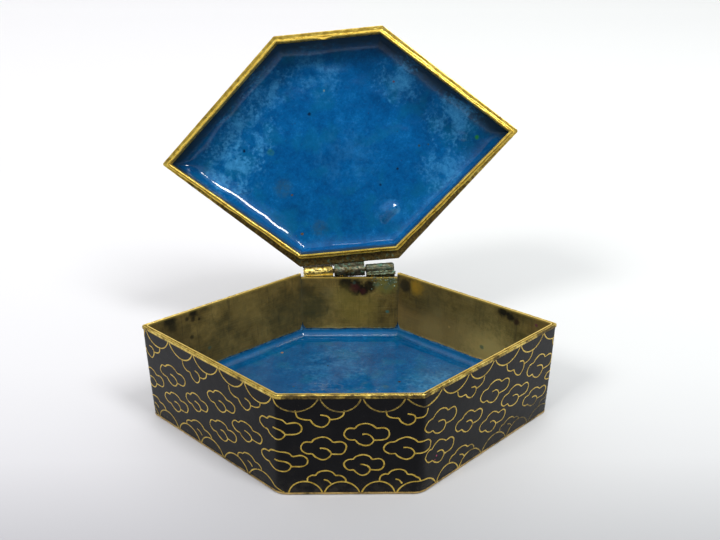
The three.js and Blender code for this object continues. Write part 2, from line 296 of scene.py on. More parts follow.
# ----------------------------------------------------------- procedural nodes
class Nodes:
    def __init__(self, name):
        self.mat = bpy.data.materials.new(name)
        self.mat.use_nodes = True
        self.t = self.mat.node_tree
        self.t.nodes.clear()
        self.out = self.t.nodes.new("ShaderNodeOutputMaterial")
        self.bsdf = self.t.nodes.new("ShaderNodeBsdfPrincipled")
        self.t.links.new(self.bsdf.outputs[0], self.out.inputs[0])
        tc = self.t.nodes.new("ShaderNodeTexCoord")
        sc = self.t.nodes.new("ShaderNodeVectorMath")
        sc.operation = "SCALE"
        self.t.links.new(tc.outputs["Object"], sc.inputs[0])
        sc.inputs["Scale"].default_value = 1000.0
        self.mm = sc.outputs[0]

    def put(self, socket, value):
        if isinstance(value, bpy.types.NodeSocket):
            self.t.links.new(value, socket)
        elif isinstance(value, (tuple, list)) and len(value) == 3 and socket.type == "RGBA":
            socket.default_value = (*value, 1.0)
        else:
            socket.default_value = value

    def math(self, op, a, b=None, c=None, clamp=False):
        n = self.t.nodes.new("ShaderNodeMath")
        n.operation = op
        n.use_clamp = clamp
        for s, v in zip(n.inputs, (a, b, c)):
            if v is not None:
                self.put(s, v)
        return n.outputs[0]

    def noise(self, freq, detail=2.0, rough=0.5, dist=0.0, vec=None):
        n = self.t.nodes.new("ShaderNodeTexNoise")
        self.put(n.inputs["Vector"], vec if vec is not None else self.mm)
        n.inputs["Scale"].default_value = freq
        n.inputs["Detail"].default_value = detail
        n.inputs["Roughness"].default_value = rough
        n.inputs["Distortion"].default_value = dist
        return n.outputs[0]

    def cells(self, freq, vec=None, rand=1.0):
        n = self.t.nodes.new("ShaderNodeTexVoronoi")
        self.put(n.inputs["Vector"], vec if vec is not None else self.mm)
        n.inputs["Scale"].default_value = freq
        n.inputs["Randomness"].default_value = rand
        return n.outputs["Distance"]

    def step(self, value, low, high, to0=0.0, to1=1.0):
        n = self.t.nodes.new("ShaderNodeMapRange")
        n.interpolation_type = "SMOOTHSTEP"
        n.clamp = True
        self.put(n.inputs["Value"], value)
        n.inputs["From Min"].default_value = low
        n.inputs["From Max"].default_value = high
        n.inputs["To Min"].default_value = to0
        n.inputs["To Max"].default_value = to1
        return n.outputs[0]

    def mix(self, fac, a, b, blend="MIX"):
        n = self.t.nodes.new("ShaderNodeMix")
        n.data_type = "RGBA"
        n.blend_type = blend
        n.clamp_factor = True
        self.put(n.inputs[0], fac)
        self.put(n.inputs[6], a)
        self.put(n.inputs[7], b)
        return n.outputs[2]

    def mixf(self, fac, a, b):
        n = self.t.nodes.new("ShaderNodeMix")
        n.data_type = "FLOAT"
        n.clamp_factor = True
        self.put(n.inputs[0], fac)
        self.put(n.inputs[2], a)
        self.put(n.inputs[3], b)
        return n.outputs[0]

    def ramp(self, fac, stops):
        n = self.t.nodes.new("ShaderNodeValToRGB")
        el = n.color_ramp.elements
        while len(el) < len(stops):
            el.new(0.5)
        for e, (pos, col) in zip(el, stops):
            e.position = pos
            e.color = (*col, 1.0)
        self.put(n.inputs[0], fac)
        return n.outputs[0]

    def stretch(self, x, y, z):
        n = self.t.nodes.new("ShaderNodeVectorMath")
        n.operation = "MULTIPLY"
        self.put(n.inputs[0], self.mm)
        n.inputs[1].default_value = (x, y, z)
        return n.outputs[0]

    def attr(self, name):
        n = self.t.nodes.new("ShaderNodeAttribute")
        n.attribute_type = "GEOMETRY"
        n.attribute_name = name
        return n.outputs["Fac"]

    def spot(self, at_m, inner, outer, warp=None):
        """1 inside a place on the piece, falling to 0 at the outer radius in mm. at_m is in the frame, in metres."""
        n = self.t.nodes.new("ShaderNodeVectorMath")
        n.operation = "DISTANCE"
        self.put(n.inputs[0], self.mm)
        n.inputs[1].default_value = tuple(np.asarray(at_m, float) * 1000.0)
        d = n.outputs["Value"]
        if warp is not None:
            d = self.math("ADD", d, self.math("MULTIPLY", self.math("SUBTRACT", self.noise(1.1, 2.0), 0.5), warp))
        return self.step(d, inner, outer, 1.0, 0.0)

    def split(self):
        n = self.t.nodes.new("ShaderNodeSeparateXYZ")
        self.put(n.inputs[0], self.mm)
        return n.outputs[0], n.outputs[1], n.outputs[2]

    def bump(self, height, depth_mm, normal=None):
        n = self.t.nodes.new("ShaderNodeBump")
        n.inputs["Strength"].default_value = 1.0
        n.inputs["Distance"].default_value = depth_mm / 1000.0
        self.put(n.inputs["Height"], height)
        if normal is not None:
            self.put(n.inputs["Normal"], normal)
        return n.outputs[0]

    def finish(self, color, rough, normal=None, metallic=0.0, ior=None, coat=0.0, coat_rough=0.1):
        b = self.bsdf
        self.put(b.inputs["Base Color"], color)
        self.put(b.inputs["Roughness"], rough)
        self.put(b.inputs["Metallic"], metallic)
        if normal is not None:
            self.put(b.inputs["Normal"], normal)
        if ior:
            b.inputs["IOR"].default_value = ior
        if coat:
            b.inputs["Coat Weight"].default_value = coat
            b.inputs["Coat Roughness"].default_value = coat_rough
        return self.mat


def srgb(r, g, b):
    f = lambda c: (c / 255 / 12.92) if c / 255 <= 0.04045 else ((c / 255 + 0.055) / 1.055) ** 2.4
    return (f(r), f(g), f(b))


def black_enamel(spots=()):
    g = Nodes("black_enamel")
    cloud = g.noise(0.22, 4.0, 0.6)
    col = g.ramp(cloud, [(0.3, (0.0016, 0.0016, 0.0022)), (0.6, (0.0030, 0.0030, 0.0038)), (0.8, (0.007, 0.006, 0.005))])
    speck = g.step(g.cells(1.5), 0.10, 0.04)
    some = g.step(g.noise(0.6, 1.0), 0.52, 0.62)
    col = g.mix(g.math("MULTIPLY", speck, some), col, (0.04, 0.035, 0.028))
    # dirt collects low on the walls
    _, _, z = g.split()
    low = g.math("MULTIPLY", g.step(z, 5.0, 0.4), g.step(g.noise(0.5, 3.0), 0.35, 0.7))
    col = g.mix(g.math("MULTIPLY", low, 0.55), col, (0.03, 0.026, 0.02))
    for at, r, c in spots:
        col = g.mix(g.spot(at, r * 0.4, r, r * 0.8), col, c)
    scratch = g.step(g.noise(2.6, 2.0, vec=g.stretch(0.16, 0.16, 2.4)), 0.6, 0.72)
    rough = g.math("ADD", g.math("MULTIPLY", g.noise(0.5, 3.0), 0.16), 0.05)
    rough = g.math("ADD", rough, g.math("MULTIPLY", scratch, 0.05))
    rough = g.math("ADD", rough, g.math("MULTIPLY", low, 0.18), clamp=True)
    peel = g.noise(0.55, 2.0)
    nor = g.bump(peel, 0.035)
    pits = g.step(g.cells(1.1), 0.16, 0.03)
    nor = g.bump(g.math("MULTIPLY", pits, g.step(g.noise(0.4, 1.0), 0.45, 0.6)), -0.03, nor)
    nor = g.bump(g.noise(5.0, 2.0), 0.003, nor)
    return g.finish(col, rough, nor, ior=1.23)


def blue_enamel(name, spots=(), pale=(), shade=False, tint=(1, 1, 1), ior=1.33, seam=False):
    """Fired blue glass: mottled, with teal and pale patches, bubbles and specks. spots: (place, radius, colour); pale: (place, radius, strength)."""
    g = Nodes(name)
    big = g.noise(0.085, 3.0, 0.55, 0.4)
    mid = g.noise(0.34, 5.0, 0.68, 0.6)
    fine = g.noise(1.5, 4.0, 0.7)
    v = g.math("ADD", g.math("MULTIPLY", big, 0.28), g.math("ADD", g.math("MULTIPLY", mid, 0.40), g.math("MULTIPLY", fine, 0.32)))
    col = g.ramp(v, [(0.34, (0.0004, 0.047, 0.155)), (0.46, (0.0006, 0.073, 0.232)), (0.55, (0.0014, 0.098, 0.290)), (0.68, (0.012, 0.165, 0.41))])
    grain = g.step(g.cells(2.1), 0.20, 0.55)
    col = g.mix(g.math("MULTIPLY", grain, 0.22), col, (0.0006, 0.050, 0.135))
    teal = g.step(g.noise(0.16, 3.0, 0.5, 0.3, vec=g.stretch(1.0, 1.3, 0.8)), 0.52, 0.68)
    col = g.mix(g.math("MULTIPLY", teal, 0.35), col, (0.003, 0.110, 0.205))
    milk = g.step(g.noise(0.55, 6.0, 0.75, 0.8), 0.56, 0.72)
    col = g.mix(g.math("MULTIPLY", milk, 0.30), col, (0.020, 0.165, 0.36))
    if shade:
        # painted shade: the glass darker next to the metal of the edge, most on the side away from the hinge
        sh = g.attr("shade")
        sh = g.step(g.math("ADD", sh, g.math("MULTIPLY", g.math("SUBTRACT", g.noise(0.45, 4.0, 0.6, 0.5), 0.5), 0.5)), 0.08, 0.95)
        col = g.mix(g.math("MULTIPLY", sh, 0.96), col, (0.014, 0.029, 0.047))
    for at, r, k in pale:
        m = g.spot(at, r * 0.25, r, 1.5 * r)
        m = g.math("MULTIPLY", m, g.step(g.noise(0.19, 7.0, 0.66, 0.35), 0.40, 0.57))
        m = g.math("MULTIPLY", m, g.math("ADD", g.math("MULTIPLY", g.step(g.noise(0.8, 6.0, 0.8, 0.3), 0.40, 0.62), 0.5), 0.5))
        col = g.mix(g.math("MULTIPLY", m, min(1.0, 1.35 * k)), col, (0.046, 0.235, 0.480))
    if seam:
        # lighter where it climbs to the metal wall, painted light against the shade of the walls; milkier in patches at
        # its top edge
        up = g.split()[2]
        col = g.mix(g.math("MULTIPLY", g.step(up, 5.3, 6.5), 0.42), col, (0.006, 0.180, 0.50))
        col = g.mix(g.math("MULTIPLY", g.math("MULTIPLY", g.step(up, 6.7, 7.3), 0.55), g.step(g.noise(0.5, 4.0, 0.6), 0.35, 0.6)), col, (0.22, 0.46, 0.62))
    # tiny bubbles and dark specks of the glass
    dark = g.step(g.cells(0.55), 0.11, 0.05)
    keep = g.step(g.noise(0.31, 1.0), 0.54, 0.6)
    col = g.mix(g.math("MULTIPLY", g.math("MULTIPLY", dark, keep), 0.65), col, (0.004, 0.028, 0.075))
    light = g.step(g.cells(1.25), 0.12, 0.05)
    keep2 = g.step(g.noise(0.5, 1.0), 0.55, 0.62)
    col = g.mix(g.math("MULTIPLY", g.math("MULTIPLY", light, keep2), 0.35), col, (0.07, 0.24, 0.45))
    for at, r, c, *k in spots:
        m = g.spot(at, r * 0.45, r, min(r * 0.8, 1.6))
        if k:
            m = g.math("MULTIPLY", g.math("MULTIPLY", m, g.step(g.noise(0.9, 5.0, 0.7), 0.30, 0.60)), k[0])
        col = g.mix(m, col, c)
    col = g.mix(1.0, col, tint, "MULTIPLY")
    rough = g.math("ADD", g.math("MULTIPLY", g.noise(0.8, 4.0, 0.65), 0.06), 0.02, clamp=True)
    if shade:
        rough = g.math("ADD", rough, g.math("MULTIPLY", sh, 0.45), clamp=True)
    nor = g.bump(g.noise(0.25, 2.0), 0.08)
    nor = g.bump(g.noise(0.9, 3.0, 0.6), 0.006, nor)
    nor = g.bump(g.math("MULTIPLY", light, keep2), 0.015, nor)
    nor = g.bump(g.math("MULTIPLY", dark, keep), -0.03, nor)
    return g.finish(col, rough, nor, ior=ior)


def wire_gold():
    g = Nodes("cloison_gold")
    dull = g.attr("dull")
    n = g.noise(0.9, 4.0, 0.6)
    col = g.ramp(n, [(0.3, (0.38, 0.245, 0.035)), (0.5, (0.58, 0.40, 0.068)), (0.7, (0.76, 0.56, 0.13))])
    wear = g.step(g.math("ADD", dull, g.math("MULTIPLY", g.math("SUBTRACT", g.noise(1.7, 3.0), 0.5), 0.9)), 0.25, 0.85)
    col = g.mix(wear, col, (0.10, 0.078, 0.035))
    rough = g.mixf(wear, g.math("ADD", g.math("MULTIPLY", n, 0.2), 0.2), 0.55)
    nor = g.bump(g.noise(5.0, 3.0, 0.6), 0.02)
    return g.finish(col, rough, nor, metallic=0.90)


def brass(name, bright=((0.50, 0.33, 0.055), (0.74, 0.54, 0.11), (0.92, 0.76, 0.25)), dirt=0.5, green=0.0, rough0=0.24, groove=False, spots=(), grain=0.9, metal=0.86):
    """Worn gilt brass. attribute 'dark' adds tarnish, and painted shade and painted highlight where the rim, the lid's
    ledge and its collar carry them; 'grime' darkens grooves and creases: dirt, and painted shade beside and inside the
    lid's collar.
    """
    g = Nodes(name)
    n = g.noise(0.65, 5.0, 0.65, 0.3)
    col = g.ramp(n, [(0.3, bright[0]), (0.52, bright[1]), (0.72, bright[2])])
    dark = g.attr("dark")
    mott = g.noise(grain, 5.0, 0.7, 0.5)
    # tarnish, together with the painted shade and highlight that 'dark' carries
    tarnish_and_shade = g.step(g.math("ADD", dark, g.math("MULTIPLY", g.math("SUBTRACT", mott, 0.5), 1.5)), 0.28, 0.78)
    col = g.mix(tarnish_and_shade, col, g.ramp(g.noise(1.7, 3.0), [(0.35, (0.050, 0.034, 0.010)), (0.65, (0.15, 0.102, 0.028))]))
    pit = g.step(g.cells(2.4), 0.20, 0.08)
    pitkeep = g.step(g.noise(0.55, 3.0), 0.60 - 0.22 * dirt, 0.72 - 0.14 * dirt)
    pits = g.math("MULTIPLY", pit, pitkeep)
    col = g.mix(g.math("MULTIPLY", pits, 0.85), col, (0.035, 0.026, 0.012))
    if green:
        vg = g.step(g.noise(0.8, 5.0, 0.7, 0.6, vec=g.stretch(1.1, 0.9, 1.0)), 0.66 - 0.2 * green, 0.74 - 0.14 * green)
        vg = g.math("MULTIPLY", vg, g.attr("verd"))
        col = g.mix(vg, col, g.ramp(g.noise(2.4, 3.0), [(0.35, (0.03, 0.075, 0.05)), (0.65, (0.12, 0.27, 0.19))]))
    else:
        vg = None
    if groove:
        col = g.mix(g.attr("grime"), col, (0.03, 0.022, 0.010))
    for at, r, c in spots:
        col = g.mix(g.spot(at, r * 0.4, r, r * 0.9), col, c)
    rough = g.mixf(tarnish_and_shade, g.math("ADD", g.math("MULTIPLY", n, 0.22), rough0 - 0.06), 0.52)
    rough = g.mixf(pits, rough, 0.7)
    if vg is not None:
        rough = g.mixf(vg, rough, 0.85)
        metal = g.mixf(vg, metal, 0.05)
    nor = g.bump(g.noise(1.3, 4.0, 0.6), 0.03)
    nor = g.bump(pits, -0.05, nor)
    nor = g.bump(g.noise(9.0, 2.0), 0.006, nor)
    if vg is not None:
        nor = g.bump(g.math("MULTIPLY", vg, g.noise(3.5, 4.0, 0.7)), 0.12, nor)
    return g.finish(col, rough, nor, metallic=metal)


def lining_brass(marks):
    """Tarnished olive-brown sheet with stains. marks: (place, inner, outer, colour, strength, warp)."""
    g = Nodes("tarnished_lining")
    big = g.noise(0.11, 3.0, 0.55, 0.5)
    mid = g.noise(0.5, 5.0, 0.65, 0.4)
    v = g.math("ADD", g.math("MULTIPLY", big, 0.6), g.math("MULTIPLY", mid, 0.4))
    col = g.ramp(v, [(0.36, (0.175, 0.110, 0.026)), (0.46, (0.295, 0.188, 0.042)), (0.55, (0.415, 0.264, 0.062)), (0.66, (0.60, 0.39, 0.10))])
    # brushed along the wall, and soft runs down it
    brush = g.noise(1.1, 3.0, 0.6, vec=g.stretch(0.12, 0.12, 2.6))
    col = g.mix(g.math("MULTIPLY", g.step(brush, 0.42, 0.68), 0.22), col, (0.58, 0.38, 0.11))
    col = g.mix(g.math("MULTIPLY", g.step(g.noise(2.2, 4.0, 0.7), 0.50, 0.66), 0.30), col, (0.13, 0.085, 0.025))
    runs = g.step(g.noise(1.1, 4.0, 0.65, 0.3, vec=g.stretch(1.0, 1.0, 0.10)), 0.50, 0.72)
    col = g.mix(g.math("MULTIPLY", runs, 0.55), col, (0.115, 0.085, 0.030))
    warm = g.attr("warm")
    col = g.mix(g.math("MULTIPLY", warm, 0.6), col, (0.62, 0.36, 0.10))
    teal = g.attr("teal")
    teal = g.math("MULTIPLY", teal, g.step(g.noise(1.6, 4.0, 0.7), 0.36, 0.62))
    col = g.mix(teal, col, (0.20, 0.34, 0.21))
    specks = g.step(g.cells(0.9), 0.13, 0.05)
    keep = g.step(g.noise(0.25, 2.0), 0.5, 0.6)
    col = g.mix(g.math("MULTIPLY", g.math("MULTIPLY", specks, keep), 0.7), col, (0.04, 0.03, 0.014))
    dark = g.attr("dark")
    shade = g.step(g.math("ADD", dark, g.math("MULTIPLY", g.math("SUBTRACT", mid, 0.5), 0.9)), 0.2, 0.9)
    col = g.mix(shade, col, (0.075, 0.060, 0.022))
    for at, r0, r1, c, k, warp in marks:
        col = g.mix(g.math("MULTIPLY", g.spot(at, r0, r1, warp), k), col, c)
    edge = g.attr("edge")
    col = g.mix(edge, col, (0.80, 0.58, 0.13))
    rough = g.mixf(edge, g.math("ADD", g.math("MULTIPLY", mid, 0.22), 0.36), 0.28)
    nor = g.bump(brush, 0.006)
    nor = g.bump(g.noise(0.35, 3.0), 0.10, nor)
    nor = g.bump(g.math("MULTIPLY", specks, keep), -0.04, nor)
    return g.finish(col, rough, nor, metallic=g.mixf(teal, g.mixf(shade, 0.80, 0.5), 0.1))


def crust(name, low, mid, high, top):
    g = Nodes(name)
    n = g.noise(1.3, 5.0, 0.7)
    col = g.ramp(n, [(0.3, low), (0.47, mid), (0.58, high), (0.74, top)])
    nor = g.bump(g.noise(4.0, 4.0, 0.7), 0.10)
    return g.finish(col, 0.85, nor)


# ------------------------------------------------------------- wires, swept
def spline(points, step=0.32):
    """Catmull-Rom through points; a point tagged as a notch (third value 1) stays a sharp turn. Resampled at even steps."""
    pts = [np.array(p[:2], float) for p in points]
    tags = [len(p) > 2 and p[2] for p in points]
    runs, cur = [], [0]
    for i in range(1, len(pts)):
        cur.append(i)
        if tags[i] and i < len(pts) - 1:
            runs.append(cur)
            cur = [i]
    runs.append(cur)
    line = []
    for run in runs:
        q = [pts[i] for i in run]
        if len(q) == 2:
            fine = [q[0] + (q[1] - q[0]) * t for t in np.linspace(0, 1, 12)]
        else:
            ext = [2 * q[0] - q[1]] + q + [2 * q[-1] - q[-2]]
            fine = []
            for i in range(1, len(ext) - 2):
                p0, p1, p2, p3 = ext[i - 1:i + 3]
                for t in np.linspace(0, 1, 12, endpoint=False):
                    fine.append(0.5 * ((2 * p1) + (-p0 + p2) * t + (2 * p0 - 5 * p1 + 4 * p2 - p3) * t * t + (-p0 + 3 * p1 - 3 * p2 + p3) * t ** 3))
            fine.append(q[-1])
        line += fine if not line else fine[1:]
    line = np.array(line)
    d = np.concatenate([[0], np.cumsum(np.linalg.norm(np.diff(line, axis=0), axis=1))])
    n = max(2, int(round(d[-1] / step)))
    t = np.linspace(0, d[-1], n + 1)
    return np.stack([np.interp(t, d, line[:, 0]), np.interp(t, d, line[:, 1])], 1)


def arc3(a, b, c, step=0.32):
    """A circular arc through three points."""
    a, b, c = (np.array(p, float) for p in (a, b, c))
    m = np.array([2 * (b - a), 2 * (c - a)])
    rhs = np.array([b @ b - a @ a, c @ c - a @ a])
    o = np.linalg.solve(m, rhs)
    r = np.linalg.norm(a - o)
    t0, t1, t2 = (math.atan2(*(p - o)[::-1]) for p in (a, b, c))
    d01, d02 = (t1 - t0) % (2 * math.pi), (t2 - t0) % (2 * math.pi)
    if d01 > d02:
        d02 -= 2 * math.pi
    n = max(4, int(round(abs(d02) * r / step)))
    t = t0 + np.linspace(0, d02, n + 1)
    return np.stack([o[0] + r * np.cos(t), o[1] + r * np.sin(t)], 1)


def sweep(pile, pos, nor, width, proud=0.04, deep=0.09, dull=None, seed=0):
    """A flat wire with rounded edges along points on a surface."""
    n = len(pos)
    tan = np.gradient(pos, axis=0)
    tan = tan / np.maximum(np.linalg.norm(tan, axis=1), 1e-9)[:, None]
    side = np.cross(nor, tan)
    side = side / np.maximum(np.linalg.norm(side, axis=1), 1e-9)[:, None]
    s = np.arange(n) * 0.32
    rng = np.random.RandomState(seed + 17)
    w = width * (1 + 0.10 * np.sin(s * 0.9 + rng.uniform(0, 6)) + 0.07 * np.sin(s * 2.3 + rng.uniform(0, 6)))
    shape = [(-0.5, -deep), (-0.5, proud * 0.45), (-0.26, proud), (0.26, proud), (0.5, proud * 0.45), (0.5, -deep)]
    rings = np.stack([pos + side * (w * a)[:, None] + nor * b for a, b in shape], 1)
    m = len(shape)
    faces = []
    for i in range(n - 1):
        for j in range(m):
            k = (j + 1) % m
            faces.append((i * m + j, i * m + k, (i + 1) * m + k, (i + 1) * m + j))
    faces.append(tuple(range(m))[::-1])
    faces.append(tuple((n - 1) * m + j for j in range(m)))
    d = np.zeros(n) if dull is None else dull
    pile.add(rings.reshape(-1, 3), faces, dull=np.repeat(d, m))


CLOUD = [(-0.88, 0.15), (0.1, 0.12), (0.93, -0.35), (1.4, -1.3), (0.75, -2.35), (-0.4, -2.7), (-1.7, -2.05), (-2.4, -1.25, 1),
         (-3.6, -1.2), (-4.55, -0.4), (-4.6, 0.6), (-3.75, 1.5), (-2.5, 1.6, 1), (-1.75, 2.35), (-0.25, 2.75), (1.1, 2.35),
         (1.9, 1.5, 1), (3.6, 1.65), (4.55, 0.85), (4.5, -0.4), (3.6, -1.25), (1.4, -1.3)]
HANG = [(-4.94, 0.1), (-4.56, -1.375), (-3.44, -2.075), (-1.94, -2.175, 1), (-1.19, -3.325), (0.36, -4.03), (1.56, -3.325), (1.94, -2.175), (1.44, -1.325), (0.11, -1.025)]
HANG_ARM = [(1.94, -2.175), (3.56, -1.925), (4.69, -1.175), (5.01, 0.1)]
STAND = [(-4.36, -0.1), (-4.19, 1.0), (-3.31, 1.625), (-2.44, 1.625, 1), (-1.69, 2.375), (-0.19, 2.75), (1.19, 2.375), (2.06, 1.55, 1), (3.19, 1.45), (4.14, 0.75), (4.39, -0.1)]
STAND_HOOK = [(-0.69, 0.5), (0.19, 0.25), (0.94, -0.55)]


def jitter(points, rng, amount):
    return [(p[0] + rng.uniform(-amount, amount), p[1] + rng.uniform(-amount, amount), *p[2:]) for p in points]


def fit_shape(points, x0, x1, y0, y1, rng, amount=0.10):
    xs, ys = [p[0] for p in points], [p[1] for p in points]
    sx, sy = (x1 - x0) / (max(xs) - min(xs)), (y1 - y0) / (max(ys) - min(ys))
    j = jitter(points, rng, amount)
    out = [(x0 + (p[0] - min(xs)) * sx, y0 + (p[1] - min(ys)) * sy, *p[2:]) for p in j]
    # the last point of a cloud's wire lands on the wire itself
    return out


def on_wall(line):
    """Points and normals on the outer enamel for (along the outline, height)."""
    S, z = line[:, 0], line[:, 1]
    xy, out = ring_xy(OUT, S, 0.06, skin_r(S, z) - 0.06)
    p = np.column_stack([xy, z])
    n = np.column_stack([out, np.zeros(len(S))])
    return p - n * wobble(p)[:, None], n


def box_wires():
    pile = Pile()
    rng = np.random.RandomState(3)
    W = 0.315

    def dullness(line):
        S, z = np.mod(line[:, 0], AROUND), line[:, 1]
        d = np.zeros(len(S)) + 0.06
        front = (S > START[1] - 1) & (S < START[2] + 1)
        d = np.where(front & (z > 20.6), 0.62, d)
        d = np.where((S < START[1]) & (S > 12) & (z > 20.4), 0.18, d)
        low_right = np.clip((S - 92) / 22, 0, 1) * np.clip((8.5 - z) / 4, 0, 1)
        d = np.where((S > START[2]) & (S < START[3]), np.maximum(d, 0.75 * low_right), d)
        d = np.where((S > START[2] + 16) & (S < START[3]) & (z < 5), np.maximum(d, 0.55), d)
        low_left = np.clip((15 - S) / 12, 0, 1) * np.clip((7 - z) / 4, 0, 1)
        d = np.where(S < START[1], np.maximum(d, 0.5 * low_left), d)
        p = np.column_stack([S, z, np.zeros(len(S))])
        d = np.where(S > START[3], np.clip(0.22 + 0.30 * waves(p, 22, 71), 0, 0.8), d)
        return d

    def lay(line, width=W, seed=0):
        mid = np.mod(line[:, 0].mean(), AROUND)
        if not START[1] - 2 < mid < START[2] + 2:
            width = width * 0.89
        p, n = on_wall(line)
        sweep(pile, p, n, width, dull=dullness(line), seed=seed)

    # scallops hanging from the rim and standing on the foot wire
    fl = lambda px: START[0] + px / 30.0 - 1
    fr = lambda px: START[2] + px / 30.0 - 1
    f4 = lambda px: START[1] + px / 40.0 - 1
    top = [fl(-175), fl(95), fl(365), fl(635), fl(905), fl(1160), fl(1425), f4(395), f4(745), f4(1105), fr(195), fr(460), fr(720), fr(1005), fr(1275)]
    low = [fl(-130), fl(110), fl(352), fl(612), fl(880), fl(1158), f4(60), f4(395), f4(742), f4(1072), fr(150), fr(400), fr(660), fr(950), fr(1210)]
    for seq in (top, low):
        left = seq[0] + AROUND - seq[-1]
        n = int(round(left / 8.95))
        seq += [seq[-1] + left * (i + 1) / n for i in range(n - 1)]
    depth_top = {0: 2.9, 1: 2.95, 2: 2.75, 3: 2.85, 4: 2.4, 5: 2.85, 6: 2.95, 7: 3.05, 8: 3.1, 9: 2.1, 10: 2.5, 11: 2.5, 12: 2.8, 13: 2.9}
    for i, a in enumerate(top):
        b = top[i + 1] if i + 1 < len(top) else top[0] + AROUND
        g = rng.uniform(0.18, 0.3)
        d = depth_top.get(i, rng.uniform(2.6, 3.1))
        y = 23.72
        lay(arc3((a + g, y), ((a + b) / 2 + rng.uniform(-0.2, 0.2), y - d), (b - g, y)), seed=i)
    for i, a in enumerate(low):
        b = low[i + 1] if i + 1 < len(low) else low[0] + AROUND
        g = rng.uniform(0.18, 0.3)
        lay(arc3((a + g, 0.47), ((a + b) / 2 + rng.uniform(-0.15, 0.15), 3.3 + rng.uniform(-0.2, 0.1)), (b - g, 0.47)), seed=40 + i)

    # half clouds hanging between two scallops: along the outline, and the lowest point
    hang = [(fl(-8), fl(250), 16.9), (fl(508), fl(775), 16.85), (fl(1003), fl(1312), 17.1), (f4(197), f4(600), 16.95), (f4(938), f4(1299), 17.45),
            (fr(345), fr(620), 17.45), (fr(863), fr(1160), 15.95)]
    back = [128.5 + 17.92 * i for i in range(7)]
    hang += [(c - 4.8, c + 4.8, 16.7 + rng.uniform(-0.3, 0.3)) for c in back]
    for i, (a, b, z) in enumerate(hang):
        sx, sy = (b - a) / 9.95, (20.95 - z) / 4.03
        c = (a + b) / 2
        for shape in (HANG, HANG_ARM):
            pts = [((c - 0.03 + p[0] * sx), 20.95 + p[1] * sy, *p[2:]) for p in (jitter(shape, rng, 0.07) if shape is HANG else shape)]
            lay(spline(pts), seed=80 + i)
    stand = [(fl(-25), fl(215), 5.9), (fl(465), fl(755), 6.0), (fl(1045), fl(1305), 5.75), (f4(257), f4(608), 6.1), (f4(912), f4(1255), 6.35),
             (fr(290), fr(565), 5.75), (fr(860), fr(1085), 5.2), (fr(1335), fr(1590), 5.3)]
    sb = [146.0 + 17.92 * i for i in range(6)]
    stand += [(c - 4.6, c + 4.4, 6.0 + rng.uniform(-0.25, 0.2)) for c in sb]
    for i, (a, b, z) in enumerate(stand):
        sx, sy = (b - a) / 8.75, (z - 3.3) / 2.75
        c = (a + b) / 2
        for shape in (STAND, STAND_HOOK):
            pts = [((c + p[0] * sx), 3.3 + p[1] * sy, *p[2:]) for p in (jitter(shape, rng, 0.07) if shape is STAND else shape)]
            lay(spline(pts), seed=120 + i)

    z3 = lambda py: 25.58 - py / 30.0
    z4 = lambda py: 25.58 - py / 40.0
    clouds = [
        # first row
        (fl(225), fl(510), z3(400), z3(243)), (fl(765), fl(1050), z3(385), z3(232)), (fl(1300), f4(238), 13.88, 19.03),
        (f4(598), f4(972), z4(528), z4(308)), (fr(42), fr(340), z3(375), z3(198)), (fr(595), fr(905), z3(385), z3(220)), (fr(1120), fr(1415), z3(400), z3(220)),
        # second row
        (fl(-30), fl(235), z3(512), z3(362)), (fl(505), fl(745), z3(500), z3(362)), (fl(1015), fl(1315), z3(500), z3(355)),
        (f4(228), f4(610), z4(667), z4(440)), (f4(938), f4(1340), z4(665), z4(447)), (fr(345), fr(620), z3(500), z3(340)), (fr(845), fr(1155), z3(520), z3(360)), (fr(1365), fr(1650), z3(505), z3(390)),
        # third row
        (fl(235), fl(505), z3(610), z3(465)), (fl(755), fl(1040), z3(615), z3(465)), (fl(1310), f4(270), 5.95, 10.95),
        (f4(593), f4(940), z4(825), z4(618)), (fr(45), fr(330), z3(605), z3(430)), (fr(615), fr(900), z3(625), z3(470)), (fr(1115), fr(1390), z3(630), z3(485)),
    ]
    for c in [137.4 + 17.92 * i for i in range(7)]:
        for dx, zc in ((0.0, 16.0), (rng.uniform(-0.4, 0.4), 7.8)):
            clouds.append((c + dx - 4.75, c + dx + 4.75, zc - 2.6, zc + 2.6))
    for c in [146.3 + 17.92 * i for i in range(6)]:
        dx, zc = rng.uniform(-0.4, 0.4), 11.9
        clouds.append((c + dx - 4.7, c + dx + 4.7, zc - 2.65, zc + 2.65))
    for i, (a, b, y0, y1) in enumerate(clouds):
        lay(spline(fit_shape(CLOUD, a, b, y0, y1, rng, 0.085)), seed=200 + i)
    return pile


# --------------------------------------------------------------- the box body
def ring_grid(outline_rings, S):
    """outline_rings: (outline, inset, radius, z) each -> (rings, places, 3)."""
    out = []
    for outline, by, r, z in outline_rings:
        xy, _ = ring_xy(outline, S, by, r)
        out.append(np.column_stack([xy, np.full(len(S), float(z))]))
    return np.array(out)


def to_centre(ring, steps, z=None):
    """Rings from a loop of points to its middle."""
    c = ring.mean(0)
    c[2] = ring[0, 2] if z is None else z
    return [c + (ring - c) * (1 - t) for t in np.linspace(0, 1, steps + 1)[1:]]


